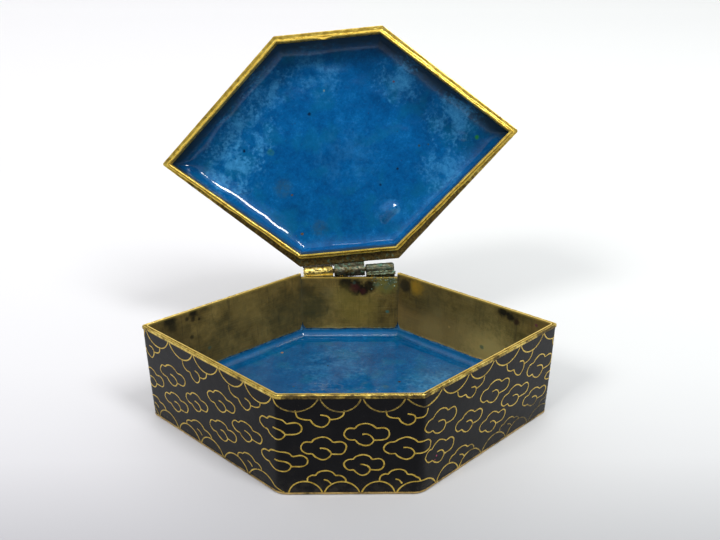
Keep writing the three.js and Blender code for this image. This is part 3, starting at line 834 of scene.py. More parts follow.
def box_shell(black, blue, under):
    n0 = START[4] + (14.07 - NOTCH[1])        # hinge notch along the outline
    n1 = START[4] + (14.07 - NOTCH[0])
    S = places(0.75, 5, extra=(n0 - 0.01, n0 + 0.01, n1 - 0.01, n1 + 0.01))
    notch = (S > n0) & (S < n1)
    rows, kind = [], []

    def add(points, k):
        rows.append(points)
        kind.append(k)

    base = ring_grid([(OUT, 0.85, skin_r(S, 3.2) - 0.3, 3.2)], S)[0]
    for r in reversed(to_centre(base, 12)):
        r = r.copy()
        r[:, 2] += 0.05 * waves(r, 14, 31)
        add(r, 2)
    add(base, 2)
    for by, less, z in ((0.80, 0.35, 2.4), (0.72, 0.40, 1.2), (0.65, 0.45, 0.51)):
        add(ring_grid([(OUT, by, skin_r(S, z) - less, z)], S)[0], 2)
    add(ring_grid([(OUT, 0.35, skin_r(S, 0.5) - 0.3, 0.51)], S)[0], 2)
    outer_z = [0.51, 0.62] + list(np.linspace(1.1, 23.2, 38)) + [23.56, 23.64]
    for z in outer_z:
        xy, out = ring_xy(OUT, S, 0.06, skin_r(S, z) - 0.06)
        zz = np.where(notch, np.minimum(z, 23.4 - (23.64 - z) * 0.02), z)
        p = np.column_stack([xy, zz])
        nrm = np.column_stack([out, np.zeros(len(S))])
        add(p - nrm * wobble(p)[:, None], 0)
    zt = np.where(notch, 23.4, 23.64)
    for by, r in ((0.3, 0.75), (0.55, 0.65)):
        xy, _ = ring_xy(OUT, S, by, r)
        add(np.column_stack([xy, zt]), 0)
    for z in (20, 16, 12, 9.5, 8.2, 7.7):
        add(ring_grid([(OUT, 0.55, 0.75, z)], S)[0], 1)
    # the fillet, then the floor
    for t in np.linspace(0, 1, 9):
        a = t * math.pi / 2
        by = 0.55 + 2.1 * (1 - math.cos(a)) ** 1.0
        z = 7.3 - 2.1 * math.sin(a)
        r = 0.75 - 0.25 * t
        ring = ring_grid([(OUT, by, r, z)], S)[0]
        ring[:, 2] += 0.05 * waves(ring, 7, 33) * (1 - t * 0.5)
        add(ring, 1)
    last = rows[-1]
    for i, r in enumerate(to_centre(last, 26, 5.2)):
        r = r.copy()
        f = min(1.0, (i + 1) / 4)
        r[:, 2] = 5.2 - 0.05 + 0.055 * waves(r, 9, 34, octaves=2) * f + 0.10 * np.exp(-((i + 1) / 2.2) ** 2)
        r[:, 2] -= dents(r[:, :2], [(-14.5, 3.5), (6.0, -9.0), (21.0, 8.0)], [1.0, 1.6, 1.2], [0.12, 0.06, 0.05])
        if i == 25:
            r[:, 2] = r[0, 2]
        add(r, 1)
    g = np.array(rows)
    m, n = g.shape[:2]
    mats = []
    for i in range(m - 1):
        mats += [kind[i + 1] if kind[i + 1] == kind[i] else (0 if 0 in (kind[i], kind[i + 1]) and 2 in (kind[i], kind[i + 1]) else max(kind[i], kind[i + 1]) if 2 not in (kind[i], kind[i + 1]) else 2)] * n
    return build("box_enamel_shell", g.reshape(-1, 3), grid_faces(m, n), place_box, "box", ("box_body",),
                 (black, blue, under), mats, sharp=35, merge=2e-7)


def profile_loop(name, S, profile, place, body, replaced, mat, closed, attrs_fn=None, disp=None, sharp=50, outline=OUT, extra_attrs=()):
    """A profile of (inset, radius, z) points run around an outline, closed or with two ends."""
    g = ring_grid([(outline, by, r, z) for by, r, z in profile], S)
    m, n = g.shape[:2]
    if disp is not None:
        gg = np.concatenate([g[-1:], g, g[:1]])
        nn = normals_of(gg, loop_u=closed)[1:-1]
        c = g.mean(0)[None]
        if ((g - c) * nn).sum() < 0:
            nn = -nn
        g = g + nn * disp(g, S)[..., None]
    faces = [tuple(f) for f in grid_faces(m, n, loop_u=closed, loop_v=True)]
    if not closed:
        faces.append(tuple(i * n for i in range(m)))
        faces.append(tuple(i * n + n - 1 for i in range(m))[::-1])
    attrs = attrs_fn(g, S) if attrs_fn else {}
    attrs = {k: np.asarray(v).reshape(-1) for k, v in attrs.items()}
    return build(name, g.reshape(-1, 3), faces, place, body, replaced, (mat,), sharp=sharp, attrs=attrs, merge=0)


# ---------------------------------------------------------------- materials
_sp, _ = ring_xy(OUT, np.array([82.6, 82.1]), 0.03, 1.0)
M_BLACK = black_enamel([(place_box((_sp[0, 0], _sp[0, 1], 7.5)), 0.33, (0.34, 0.05, 0.12)), (place_box((_sp[1, 0], _sp[1, 1], 6.7)), 0.22, (0.28, 0.04, 0.10))])
FLOOR_DOT = (-18.9, 21.2)
floor_marks = [
    (place_box((-14.52, 3.52, 5.2)), 0.40, (0.05, 0.07, 0.05)),
    (place_box((FLOOR_DOT[0], FLOOR_DOT[1], 5.2)), 0.55, (0.26, 0.16, 0.08)),
    (place_box((12.63, 5.45, 5.2)), 0.50, (0.035, 0.022, 0.012)),
    (place_box((-6.0, 14.0, 5.2)), 0.30, (0.01, 0.035, 0.07)),
    # the wide grey-blue patch at (27, 1) is a painted reflection of the lining in the floor
    (place_box((27.0, 1.0, 5.2)), 17.0, (0.060, 0.180, 0.270), 0.35), (place_box((-27.0, 4.0, 5.2)), 15.0, (0.003, 0.070, 0.215), 0.7),
    (place_box((-10.5, -8.0, 5.2)), 1.6, (0.06, 0.14, 0.10), 0.7), (place_box((-6.5, -10.5, 5.2)), 1.1, (0.05, 0.13, 0.10), 0.6), (place_box((9.0, 3.0, 5.2)), 1.3, (0.04, 0.12, 0.14), 0.6),
]
# the pale patch at (26, 0) is part of the same painted reflection at the right end
floor_pale = [(place_box((4.0, -14.0, 5.2)), 17.0, 0.45), (place_box((26.0, 0.0, 5.2)), 15.0, 0.8), (place_box((-22.0, 6.0, 5.2)), 10.0, 0.25), (place_box((-4.0, 14.0, 5.2)), 12.0, 0.35)]
M_FLOOR = blue_enamel("blue_enamel_floor", floor_marks, floor_pale, tint=(0.8, 0.72, 0.66), ior=1.46, seam=True)

D = lambda x, y, z=30.45: place_lid((x, y, z))
dish_marks = [
    # the first three marks paint shade and light on the blister: darker on its lower left, paler on its upper right
    (D(12.4, 20.8), 4.4, (0.0010, 0.066, 0.200), 0.8), (D(13.7, 19.8), 3.0, (0.006, 0.120, 0.325), 1.0), (D(14.4, 18.6), 1.7, (0.035, 0.20, 0.43), 0.9),
    (D(-27.56, -2.14), 0.60, (0.002, 0.014, 0.045)), (D(-7.85, -10.82), 0.75, (0.002, 0.020, 0.060)), (D(10.58, 11.15), 0.65, (0.002, 0.014, 0.045)),
    (D(-34.05, 9.35), 0.60, (0.07, 0.05, 0.03)), (D(-15.01, 11.68), 0.50, (0.08, 0.06, 0.03)), (D(-13.23, 23.16), 0.55, (0.10, 0.06, 0.03)), (D(-17.5, 9.5), 3.6, (0.020, 0.072, 0.130), 0.6), (D(-20.0, -1.0), 1.4, (0.02, 0.13, 0.10), 0.6), (D(-8.0, 22.0), 3.0, (0.020, 0.070, 0.125), 0.6), (D(-30.0, -15.0), 3.5, (0.012, 0.060, 0.10), 0.6),
    (D(16.99, -17.59), 0.60, (0.12, 0.04, 0.04)), (D(39.3, 0.15), 0.85, (0.02, 0.20, 0.05)), (place_lid((-1.3, -28.6, 28.2)), 1.3, (0.05, 0.012, 0.008)),
    (D(22.7, 1.0), 0.5, (0.020, 0.050, 0.065)), (D(16.0, 7.0), 0.5, (0.004, 0.02, 0.05)), (D(-3.0, -17.0), 0.5, (0.16, 0.24, 0.22)), (D(25.4, 0.9), 0.45, (0.022, 0.055, 0.07)),
]
dish_pale = [(D(-32.0, 3.5), 10.5, 0.82), (D(-26.0, -7.0), 9.5, 0.80), (D(-19.0, -18.5), 8.0, 0.65), (D(-4.0, -22.5), 9.0, 0.45), (D(18.5, -17.5), 7.5, 0.70), (D(33.0, -6.0), 8.5, 0.85),
             (D(29.0, 8.0), 8.0, 0.55), (D(12.6, 19.0), 5.4, 0.3), (D(2.0, 2.0), 11.0, 0.18)]
M_DISH = blue_enamel("blue_enamel_dish", dish_marks, dish_pale, shade=True, tint=(0.70, 0.85, 0.89))

g = Nodes("counter_enamel")
_n = g.noise(0.3, 5.0, 0.65, 0.4)
_c = g.ramp(_n, [(0.3, (0.006, 0.006, 0.008)), (0.6, (0.016, 0.016, 0.02)), (0.8, (0.04, 0.036, 0.03))])
M_UNDER = g.finish(_c, g.math("ADD", g.math("MULTIPLY", _n, 0.3), 0.2), g.bump(g.noise(0.9, 4.0, 0.6), 0.08), ior=1.45)

M_WIRE = wire_gold()
M_RIM = brass("gilt_rim", bright=((0.42, 0.27, 0.045), (0.66, 0.47, 0.09), (0.88, 0.70, 0.20)), dirt=0.9, green=0.5, groove=True, rough0=0.24, metal=0.8)
M_FOOT = brass("foot_brass", bright=((0.30, 0.19, 0.06), (0.55, 0.37, 0.13), (0.72, 0.52, 0.20)), dirt=0.8, rough0=0.34)
M_COLLAR = brass("gilt_collar", bright=((0.66, 0.42, 0.05), (0.86, 0.61, 0.095), (0.95, 0.78, 0.20)), dirt=0.3, rough0=0.24, groove=True, metal=0.62)
M_BAND = brass("gilt_band", bright=((0.44, 0.28, 0.040), (0.66, 0.47, 0.080), (0.84, 0.67, 0.17)), dirt=0.75, green=0.6, rough0=0.28, groove=True)
M_KNUCKLE_L = brass("gilt_knuckle", bright=((0.55, 0.39, 0.08), (0.80, 0.61, 0.16), (0.93, 0.80, 0.32)), dirt=1.0, green=0.35, rough0=0.26)
M_KNUCKLE_M = brass("corroded_knuckle", bright=((0.05, 0.048, 0.03), (0.11, 0.10, 0.065), (0.24, 0.21, 0.13)), dirt=1.0, green=0.95, rough0=0.42)
M_KNUCKLE_R = brass("dark_knuckle", bright=((0.045, 0.05, 0.035), (0.09, 0.095, 0.065), (0.17, 0.16, 0.10)), dirt=1.0, green=0.8, rough0=0.45)
M_PIN = brass("pin_brass", bright=((0.15, 0.11, 0.05), (0.30, 0.22, 0.09), (0.45, 0.34, 0.15)), dirt=0.9, rough0=0.4)
M_CRUST = crust("verdigris_crust", (0.045, 0.045, 0.018), (0.11, 0.10, 0.04), (0.17, 0.24, 0.16), (0.36, 0.52, 0.45))
M_SOLDER = crust("dark_solder", (0.010, 0.009, 0.006), (0.022, 0.018, 0.011), (0.045, 0.035, 0.018), (0.10, 0.07, 0.03))


def wall_point(S, z, by=0.95):
    xy, _ = ring_xy(OUT, np.array([S], float), by, 0.45)
    return place_box((xy[0, 0], xy[0, 1], z))


DARK = (0.012, 0.010, 0.006)
RUST = (0.085, 0.016, 0.010)
M_LINING = lining_brass([
    (wall_point(243.7, 23.6), 1.0, 2.3, DARK, 0.95, 1.2), (wall_point(243.2, 21.5), 0.5, 1.6, DARK, 0.8, 1.2),
    (wall_point(237.1, 23.6), 0.5, 1.7, DARK, 0.9, 1.2), (wall_point(237.4, 21.9), 0.3, 1.2, DARK, 0.8, 1.2),
    (wall_point(239.0, 22.6), 0.2, 0.8, DARK, 0.8, 0.6), (wall_point(235.6, 21.5), 0.15, 0.6, DARK, 0.8, 0.4),
    (wall_point(238.1, 17.2), 0.25, 0.9, DARK, 0.8, 0.5), (wall_point(233.3, 12.4), 0.25, 0.75, (0.10, 0.19, 0.12), 0.8, 0.4),
    (wall_point(186.0, 14.0), 2.0, 8.5, (0.46, 0.31, 0.05), 0.5, 4.0), (wall_point(194.6, 19.0), 0.6, 3.0, (0.50, 0.36, 0.12), 0.4, 2.0), (wall_point(198.0, 14.0), 1.0, 5.0, (0.14, 0.11, 0.035), 0.55, 3.0),
    (wall_point(189.4, 21.6), 1.0, 2.6, DARK, 0.9, 2.0), (wall_point(186.6, 20.3), 1.7, 3.0, DARK, 0.9, 2.2), (wall_point(182.6, 20.6), 1.1, 2.5, DARK, 0.9, 2.0), (wall_point(184.4, 19.2), 0.8, 2.0, DARK, 0.8, 1.5),
    (wall_point(187.0, 20.2), 0.7, 2.0, (0.115, 0.024, 0.022), 0.9, 1.6), (wall_point(184.6, 19.2), 0.4, 1.4, (0.10, 0.022, 0.018), 0.8, 1.2), (wall_point(187.0, 21.8), 0.2, 0.7, (0.10, 0.14, 0.09), 0.8, 0.5),
    (wall_point(178.0, 21.4), 1.6, 4.2, (0.34, 0.29, 0.06), 0.85, 2.8), (wall_point(180.5, 21.2), 0.1, 1.5, (0.20, 0.28, 0.15), 0.7, 2.4), (wall_point(177.6, 20.6), 0.1, 1.7, (0.17, 0.22, 0.11), 0.6, 2.6),
    (wall_point(176.4, 22.4), 0.6, 1.8, (0.12, 0.17, 0.09), 0.8, 1.5), (wall_point(167.4, 22.0), 1.0, 3.2, (0.95, 0.50, 0.04), 0.9, 2.4), (wall_point(171.4, 21.6), 1.3, 2.5, (0.055, 0.045, 0.022), 0.85, 1.2),
    (wall_point(156.1, 13.7), 0.2, 0.55, (0.85, 0.50, 0.12), 0.9, 0.2), (wall_point(160.0, 17.0), 0.6, 2.2, (0.52, 0.36, 0.11), 0.5, 1.5), (wall_point(150.0, 12.0), 3.0, 9.0, (0.58, 0.36, 0.10), 0.55, 5.0), (wall_point(142.3, 11.6), 1.0, 4.0, (0.75, 0.50, 0.16), 0.5, 2.0), (wall_point(177.5, 12.8), 0.25, 0.7, (0.12, 0.26, 0.18), 0.9, 0.3),
    (wall_point(200.6, 19.5), 0.5, 3.2, (0.02, 0.016, 0.008), 0.6, 1.5), (wall_point(199.5, 14.0), 0.5, 10.5, (0.10, 0.095, 0.035), 0.50, 7.0), (wall_point(190.0, 18.0), 1.0, 5.0, (0.42, 0.31, 0.06), 0.35, 3.0),
    (wall_point(209.0, 14.0), 0.5, 15.0, (0.12, 0.10, 0.035), 0.55, 8.0), (wall_point(221.0, 19.5), 1.5, 7.5, (0.60, 0.39, 0.10), 0.4, 4.0), (wall_point(230.0, 13.0), 0.5, 13.0, (0.15, 0.12, 0.042), 0.45, 8.0), (wall_point(244.0, 18.0), 2.0, 10.0, (0.10, 0.075, 0.027), 0.65, 5.0),
    (wall_point(163.0, 19.5), 1.0, 9.0, (0.20, 0.145, 0.045), 0.5, 6.0), (wall_point(161.5, 10.5), 1.5, 6.5, (0.66, 0.42, 0.12), 0.55, 3.0), (wall_point(143.0, 10.5), 2.0, 11.0, (0.98, 0.62, 0.17), 0.65, 6.0), (wall_point(148.0, 20.0), 1.0, 8.0, (0.30, 0.21, 0.06), 0.3, 5.0),
    (wall_point(140.0, 23.4), 0.7, 2.0, DARK, 0.9, 1.2), (wall_point(137.8, 22.6), 0.6, 1.7, DARK, 0.85, 1.2), (wall_point(136.0, 21.9), 0.4, 1.3, (0.05, 0.015, 0.01), 0.8, 1.0),
    (wall_point(130.5, 22.7), 0.2, 0.6, (0.35, 0.10, 0.10), 0.9, 0.2), (wall_point(145.5, 11.3), 0.35, 0.8, (0.10, 0.20, 0.10), 0.7, 0.5),
    (wall_point(20.0, 20.0), 1.0, 4.0, (0.05, 0.035, 0.015), 0.7, 3.0),
    (wall_point(66.0, 16.0), 1.0, 5.0, (0.05, 0.035, 0.015), 0.6, 3.0), (wall_point(105.0, 18.0), 1.0, 4.5, (0.05, 0.04, 0.018), 0.6, 3.0),
])

# ------------------------------------------------------------------- the box
box_shell(M_BLACK, M_FLOOR, M_UNDER)

pile = box_wires()
build("cloud_wires_box", pile.verts(), pile.f, place_box, "box", (), (M_WIRE,), sharp=60, attrs=pile.attrs(), merge=0)

# rim: a wire with a rounded crown, pitted and slightly dented, open across the hinge
r0 = START[4] + (14.07 - NOTCH[0]) + 0.04
r1 = START[4] + (14.07 - NOTCH[1]) - 0.02 + AROUND
RS = places(0.45, 5, start=r0, stop=r1)
RIM_R = np.array([0.42, 1.30, 1.30, 0.42, 0.85, 0.85, 0.42])
_rk = np.clip(np.searchsorted(START, np.mod(RS, AROUND), side="right") - 1, 0, 5)
_rv = (np.mod(RS, AROUND) - START[_rk]) / WALL[_rk]
RIM_R = RIM_R[_rk] + (RIM_R[_rk + 1] - RIM_R[_rk]) * _rv
rim_profile = [(by, np.maximum(RIM_R - by, 0.16), z) for by, z in (
    (0.03, 23.70), (0.0, 23.86), (0.0, 24.30), (0.03, 24.40), (0.05, 24.43), (0.09, 24.53), (0.17, 24.60), (0.26, 24.60), (0.31, 24.56), (0.345, 24.50),
    (0.385, 24.56), (0.44, 24.59), (0.50, 24.56), (0.55, 24.46), (0.55, 23.70))]
rng = np.random.RandomState(11)
RIM_DENTS_S = rng.uniform(0, AROUND, 70)
_xy, _ = ring_xy(OUT, RIM_DENTS_S, 0.2, 0.5)
rim_centres = np.column_stack([_xy, np.full(70, 24.6)])
rim_r = rng.uniform(0.3, 1.0, 70)
rim_d = rng.uniform(0.015, 0.06, 70)


def rim_disp(g, S):
    d = -0.012 - 0.012 * waves(g, 2.3, 41) - 0.01 * waves(g, 8.0, 42)
    return np.minimum(d - dents(g, rim_centres, rim_r, rim_d), 0.0)


def rim_attrs(g, S):
    m = len(rim_profile)
    grime = np.zeros(g.shape[:2])
    grime[8:11] = np.array([0.35, 0.95, 0.35])[:, None]
    grime[3:5] = 0.55
    grime[0] = 0.9
    grime[-1] = 0.8
    along = np.mod(S, AROUND)
    dark = 0.10 + 0.16 * waves(g, 11, 43) + 0.16 * waves(g, 2.6, 44)
    front = ((along > START[1] + 1) & (along < START[2] + 2))
    dark = dark + np.where(front, 0.45, 0)[None] + np.where((along > START[2]) & (along < START[3]), 0.14, 0)[None]
    dark[:4] += 0.22
    # lighter along the back walls: painted highlight on the rim seen from inside the box
    dark = dark - 0.22 * (along > START[3])[None]
    dark = dark + np.where((along > START[0]) & (along < START[0] + 12), 0.12, 0)[None]
    dark = dark + np.where((along > START[3]), 0.05, 0)[None]
    verd = 0.18 * ((along > START[2]) & (along < START[3])) + 0.95 * np.exp(-((along - (START[2] + 5.5)) / 2.2) ** 2) + 0.35 * np.exp(-((along - (START[4] - 1)) / 4.0) ** 2)
    dark = dark + 0.4 * np.exp(-((along - (START[2] + 5.5)) / 1.8) ** 2)[None]
    return {"grime": grime, "dark": np.clip(dark, 0, 1), "verd": np.broadcast_to(verd, g.shape[:2])}


profile_loop("rim_wire", RS, rim_profile, place_box, "box", ("box_rim",), M_RIM, False, rim_attrs, rim_disp)

# foot wire
FS = places(0.6, 6)
FOOT_R = skin_r(FS, 0.3)
foot_profile = [(by, FOOT_R - by, z) for by, z in ((0.10, 0.0), (0.03, 0.05), (0.0, 0.15), (0.0, 0.32), (0.04, 0.43), (0.14, 0.45), (0.62, 0.45), (0.72, 0.41), (0.75, 0.30), (0.75, 0.12), (0.66, 0.0))]
profile_loop("foot_wire", FS, foot_profile, place_box, "box", ("box_foot_wire",), M_FOOT, True,
             lambda g, S: {"dark": np.clip(0.38 + 0.25 * waves(g, 9, 51), 0, 1), "grime": np.zeros(g.shape[:2])},
             lambda g, S: np.where(g[..., 2] < 0.02, 0.0, np.minimum(-0.01 - 0.012 * waves(g, 3, 52), 0)))


# lining: sheet brass inside the walls, open at the foot of each corner
def lining():
    n0 = START[4] + (14.07 - NOTCH[1])
    n1 = START[4] + (14.07 - NOTCH[0])
    S = places(0.7, 6, extra=(n0 - 0.01, n0 + 0.01, n1 - 0.01, n1 + 0.01))
    notch = (S > n0) & (S < n1)
    top = np.where(notch, 23.45, 24.58)
    gap = np.min(np.abs(((S[:, None] - START[None, :6]) + AROUND / 2) % AROUND - AROUND / 2), 1)
    low = 7.6 + 2.3 * np.clip(1 - gap / 1.25, 0, 1) ** 1.1
    low = low + np.where(gap > 0.95, 0.07 * np.sin(S * 0.45) + 0.05 * np.sin(S * 1.3 + 1), 0) * np.clip((gap - 0.95) / 2, 0, 1)
    rows, edge = [], []
    steps = np.linspace(0, 1, 30)

    def ring(by, r, z, bulge=0.0):
        xy, out = ring_xy(OUT, S, by, r)
        p = np.column_stack([xy, z])
        if bulge:
            nn = np.column_stack([out, np.zeros(len(S))])
            fade = np.clip((top - z) / 0.8, 0, 1) * np.clip(gap / 2.5, 0, 1)
            p = p + nn * (bulge * np.clip(0.5 + 0.5 * waves(p, 12, 61), 0, 1) * fade)[:, None]
        return p

    for t in steps:                       # inner face, from the lower edge up
        z = low + (top - 0.05 - low) * t
        rows.append(ring(0.95, 0.45, z, 0.09))
        edge.append(np.clip(1 - (top - z) / 0.22, 0, 1) * 0.9)
    rows.append(ring(0.92, 0.47, top))
    edge.append(np.ones(len(S)))
    rows.append(ring(0.80, 0.60, top + 0.0))
    edge.append(np.ones(len(S)))
    rows.append(ring(0.65, 0.77, top))
    edge.append(np.ones(len(S)) * 0.6)
    for z in (top - 0.06, low * 0.5 + top * 0.5, low):
        rows.append(ring(0.62, 0.8, z))
        edge.append(np.zeros(len(S)))
    g = np.array(rows)
    m, n = g.shape[:2]
    along = np.mod(S, AROUND)
    left_back = np.clip((along - START[5] - 14) / 22, 0, 1) * (along > START[5])
    corner = np.exp(-(gap / 1.6) ** 2) * 0.5
    zz = g[..., 2]
    # painted shade: darker in the corners and low on the wall; also darker towards the left point along the left back
    # wall, less dark on the right back wall, and at random
    dark = 0.12 + 0.16 * left_back[None] + corner[None] + 0.16 * waves(g, 16, 62) + 0.30 * np.clip((9.0 - zz) / 1.6, 0, 1)
    dark = dark - 0.10 * ((along > START[3]) & (along < START[4]))[None]
    warm = np.clip(1 - np.abs(zz - 11.5) / 6.0, 0, 1) * (np.clip((along - START[3]) / 12, 0, 1) * (along < START[4]))[None]
    warm = warm + 0.5 * np.clip(waves(g, 20, 63), 0, 1) * (along < START[4])[None]
    teal = np.exp(-((zz - low[None]) / 0.28) ** 2) * 0.8
    return build("brass_lining", g.reshape(-1, 3), grid_faces(m, n, True, True), place_box, "box", ("box_lining",),
                 (M_LINING,), sharp=50, attrs={"dark": np.clip(dark, 0, 1).reshape(-1), "edge": np.array(edge).reshape(-1), "warm": np.clip(warm, 0, 1).reshape(-1), "teal": teal.reshape(-1)}, merge=0)


lining()


# ----------------------------------------------------------------- the hinge
def hinge_point(a, b, t):
    return HINGE_P + np.asarray(a)[..., None] * E1 + np.asarray(b)[..., None] * E2 + np.asarray(t)[..., None] * HINGE_U


def knuckle(name, span, side, place, body, node, mat, rough, seed, verd, dark, worn=0.0, turned=(0.13, 0.13)):
    """A barrel rolled from sheet, with the leaf soldered to the wall: corroded by the rough amount."""
    t0, t1 = span
    ts = np.concatenate([[t0, t0 + 0.03, t0 + 0.1, t0 + 0.22], np.linspace(t0 + 0.45, t1 - 0.45, int((t1 - t0) / 0.28)), [t1 - 0.22, t1 - 0.1, t1 - 0.03, t1]])
    ea, eb = turned
    ends = np.interp(ts, [t0, t0 + 0.1, t0 + 0.22, t0 + 0.5, t1 - 0.5, t1 - 0.22, t1 - 0.1, t1],
                     [ea, ea * 0.55, ea * 0.25 if ea > 0.2 else 0.0, 0.0, 0.0, eb * 0.25 if eb > 0.2 else 0.0, eb * 0.55, eb])
    arc = np.radians(np.linspace(-121.2, 198.0, 46))
    rings, inner, attrs_v, attrs_d = [], [], [], []
    wall_y = 32.39
    for t, cut in zip(ts, ends):
        radius = 1.45 - cut
        # the seam of the rolled sheet, a fine groove near the leaf
        seam = 0.10 * np.exp(-((np.degrees(arc) - 150) / 3.0) ** 2)
        a, b = (radius - seam) * np.cos(arc), (radius - seam) * np.sin(arc)
        wall_a = (wall_y - HINGE_P[1] - HINGE_U[1] * t) / E1[1]
        tip = cut * 0.8
        leaf_a = [wall_a, wall_a, wall_a, wall_a, -1.30, -1.13, -1.08, -1.03, -0.98]
        leaf_b = [-0.47 - tip, -1.3, -2.3, -3.3 + tip, -3.3 + tip, -3.12 + tip, -2.6, -2.1, -1.66]
        a = np.concatenate([a, leaf_a])
        b = np.concatenate([b, leaf_b])
        b = -b * side if side == 1 else b
        rings.append(hinge_point(a, b, np.full(len(a), t)))
        m = len(arc)
        turn = np.concatenate([arc, np.radians(np.linspace(199, 238, len(leaf_a)))])
        bo = 0.76 + 0.5 * cut
        ia, ib = bo * np.cos(turn), bo * np.sin(turn)
        ib = -ib * side if side == 1 else ib
        inner.append(hinge_point(ia, ib, np.full(len(ia), t)))
    g = np.array(rings)
    inn = np.array(inner)
    # corrosion eats into the barrel and never stands out past it
    axis = HINGE_P + ((g - HINGE_P) @ HINGE_U)[..., None] * HINGE_U
    radial = g - axis
    dist = np.linalg.norm(radial, axis=2)
    bite = rough * (0.5 + 0.5 * waves(g, 1.5, seed, octaves=2)) + rough * 0.7 * np.clip(waves(g, 0.9, seed + 9) - 0.2, 0, 1)
    on_barrel = (np.arange(g.shape[1]) < 46)[None] * np.clip((np.abs(ts - t0) > 0.01) * (np.abs(ts - t1) > 0.01), 0, 1)[:, None]
    g = g - radial / np.maximum(dist, 1e-6)[..., None] * (bite * on_barrel)[..., None]
    m, n = g.shape[:2]
    verts = np.concatenate([g.reshape(-1, 3), inn.reshape(-1, 3)])
    faces = [tuple(f) for f in grid_faces(m, n, True, False)]
    faces += [tuple(int(x) + m * n for x in f)[::-1] for f in grid_faces(m, n, True, False)]
    for j in range(n):
        k = (j + 1) % n
        faces.append((j, m * n + j, m * n + k, k))
        e = (m - 1) * n
        faces.append((e + j, e + k, m * n + e + k, m * n + e + j))
    tt = np.repeat(ts, n)
    lin = (tt - t0) / (t1 - t0)
    p = verts[:m * n]
    v = np.clip(verd(lin) + 0.35 * waves(p, 2.6, seed + 3), 0, 1)
    upper = np.clip(((p - HINGE_P) @ E2) / 0.5 + 0.5, 0, 1)
    d = np.clip(dark(lin) + worn * upper * (1 + 0.8 * waves(p, 0.9, seed + 5)) + 0.30 * (1 - 0.8 * (worn > 0)) * waves(p, 2.2, seed + 4), 0, 1)
    return build(name, verts, faces, place, body, (node,), (mat,), sharp=42,
                 attrs={"verd": np.concatenate([v, v]), "dark": np.concatenate([d, np.ones(m * n)]), "grime": np.zeros(2 * m * n)}, merge=0)


knuckle("knuckle_left", (-13.15, -4.86), -1, place_box, "box", "hinge_knuckle_left", M_KNUCKLE_L, 0.07, 301,
        lambda x: np.clip((x - 0.72) / 0.2, 0, 1) * 0.9 + 0.15, lambda x: 0.02 + 0.3 * np.clip((x - 0.8) / 0.15, 0, 1), 0.42, (0.42, 0.13))
knuckle("knuckle_lid", (-4.46, 4.15), 1, place_lid, "lid", "hinge_knuckle_lid", M_KNUCKLE_M, 0.11, 302,
        lambda x: 0.75 + 0 * x, lambda x: 0.30 + 0 * x)
knuckle("knuckle_right", (4.46, 12.47), -1, place_box, "box", "hinge_knuckle_right", M_KNUCKLE_R, 0.11, 303,
        lambda x: 0.45 + 0.4 * x, lambda x: 0.30 + 0 * x, 0.0, (0.2, 0.55))


def pin():
    t = np.concatenate([[-13.0, -12.98, -12.9, -12.8], np.linspace(-12.6, 11.9, 90), [12.1, 12.22, 12.3, 12.32]])
    r = np.interp(t, [-13.0, -12.98, -12.9, -12.8, 12.1, 12.22, 12.3, 12.32], [0.30, 0.5, 0.66, 0.70, 0.70, 0.66, 0.5, 0.30])
    th = np.linspace(0, 2 * math.pi, 28, endpoint=False)
    g = hinge_point(r[:, None] * np.cos(th)[None], r[:, None] * np.sin(th)[None], np.broadcast_to(t[:, None], (len(t), 28)))
    bite = 0.02 * (0.5 + 0.5 * waves(g, 1.2, 311)) + 0.02 * np.clip(waves(g, 3.0, 312), 0, 1)
    axis = HINGE_P + ((g - HINGE_P) @ HINGE_U)[..., None] * HINGE_U
    g = g - (g - axis) * bite[..., None]
    m, n = g.shape[:2]
    faces = [tuple(f) for f in grid_faces(m, n, True, False)]
    faces.append(tuple(range(n)))
    faces.append(tuple((m - 1) * n + j for j in range(n))[::-1])
    p = g.reshape(-1, 3)
    return build("pin", p, faces, place_box, "box", ("hinge_pin",), (M_PIN,), sharp=50,
                 attrs={"dark": np.clip(0.4 + 0.3 * waves(p, 2.5, 313), 0, 1), "verd": np.zeros(len(p)), "grime": np.zeros(len(p))}, merge=0)


pin()


def lumps(name, spots, place, body, mat, seed, flat=0.62):
    """Small uneven crusts of solder or verdigris, each flattened onto what it sits on. spots: (centre, size, normal)."""
    pile = Pile()
    rng = np.random.RandomState(seed)
    for c, size, nrm in spots:
        bm = bmesh.new()
        bmesh.ops.create_icosphere(bm, subdivisions=3, radius=1.0)
        v = np.array([x.co[:] for x in bm.verts])
        f = [tuple(x.index for x in face.verts) for face in bm.faces]
        bm.free()
        off = rng.uniform(0, 50, 3)
        r = 1 + 0.28 * waves(v + off, 1.6, seed + 1, octaves=2)
        v = v * r[:, None] * size
        nrm = np.array(nrm, float) / np.linalg.norm(nrm)
        v = v - np.outer(v @ nrm, nrm) * flat
        pile.add(v + np.array(c, float), f)
    return build(name, pile.verts(), pile.f, place, body, (), (mat,), sharp=80, merge=0)


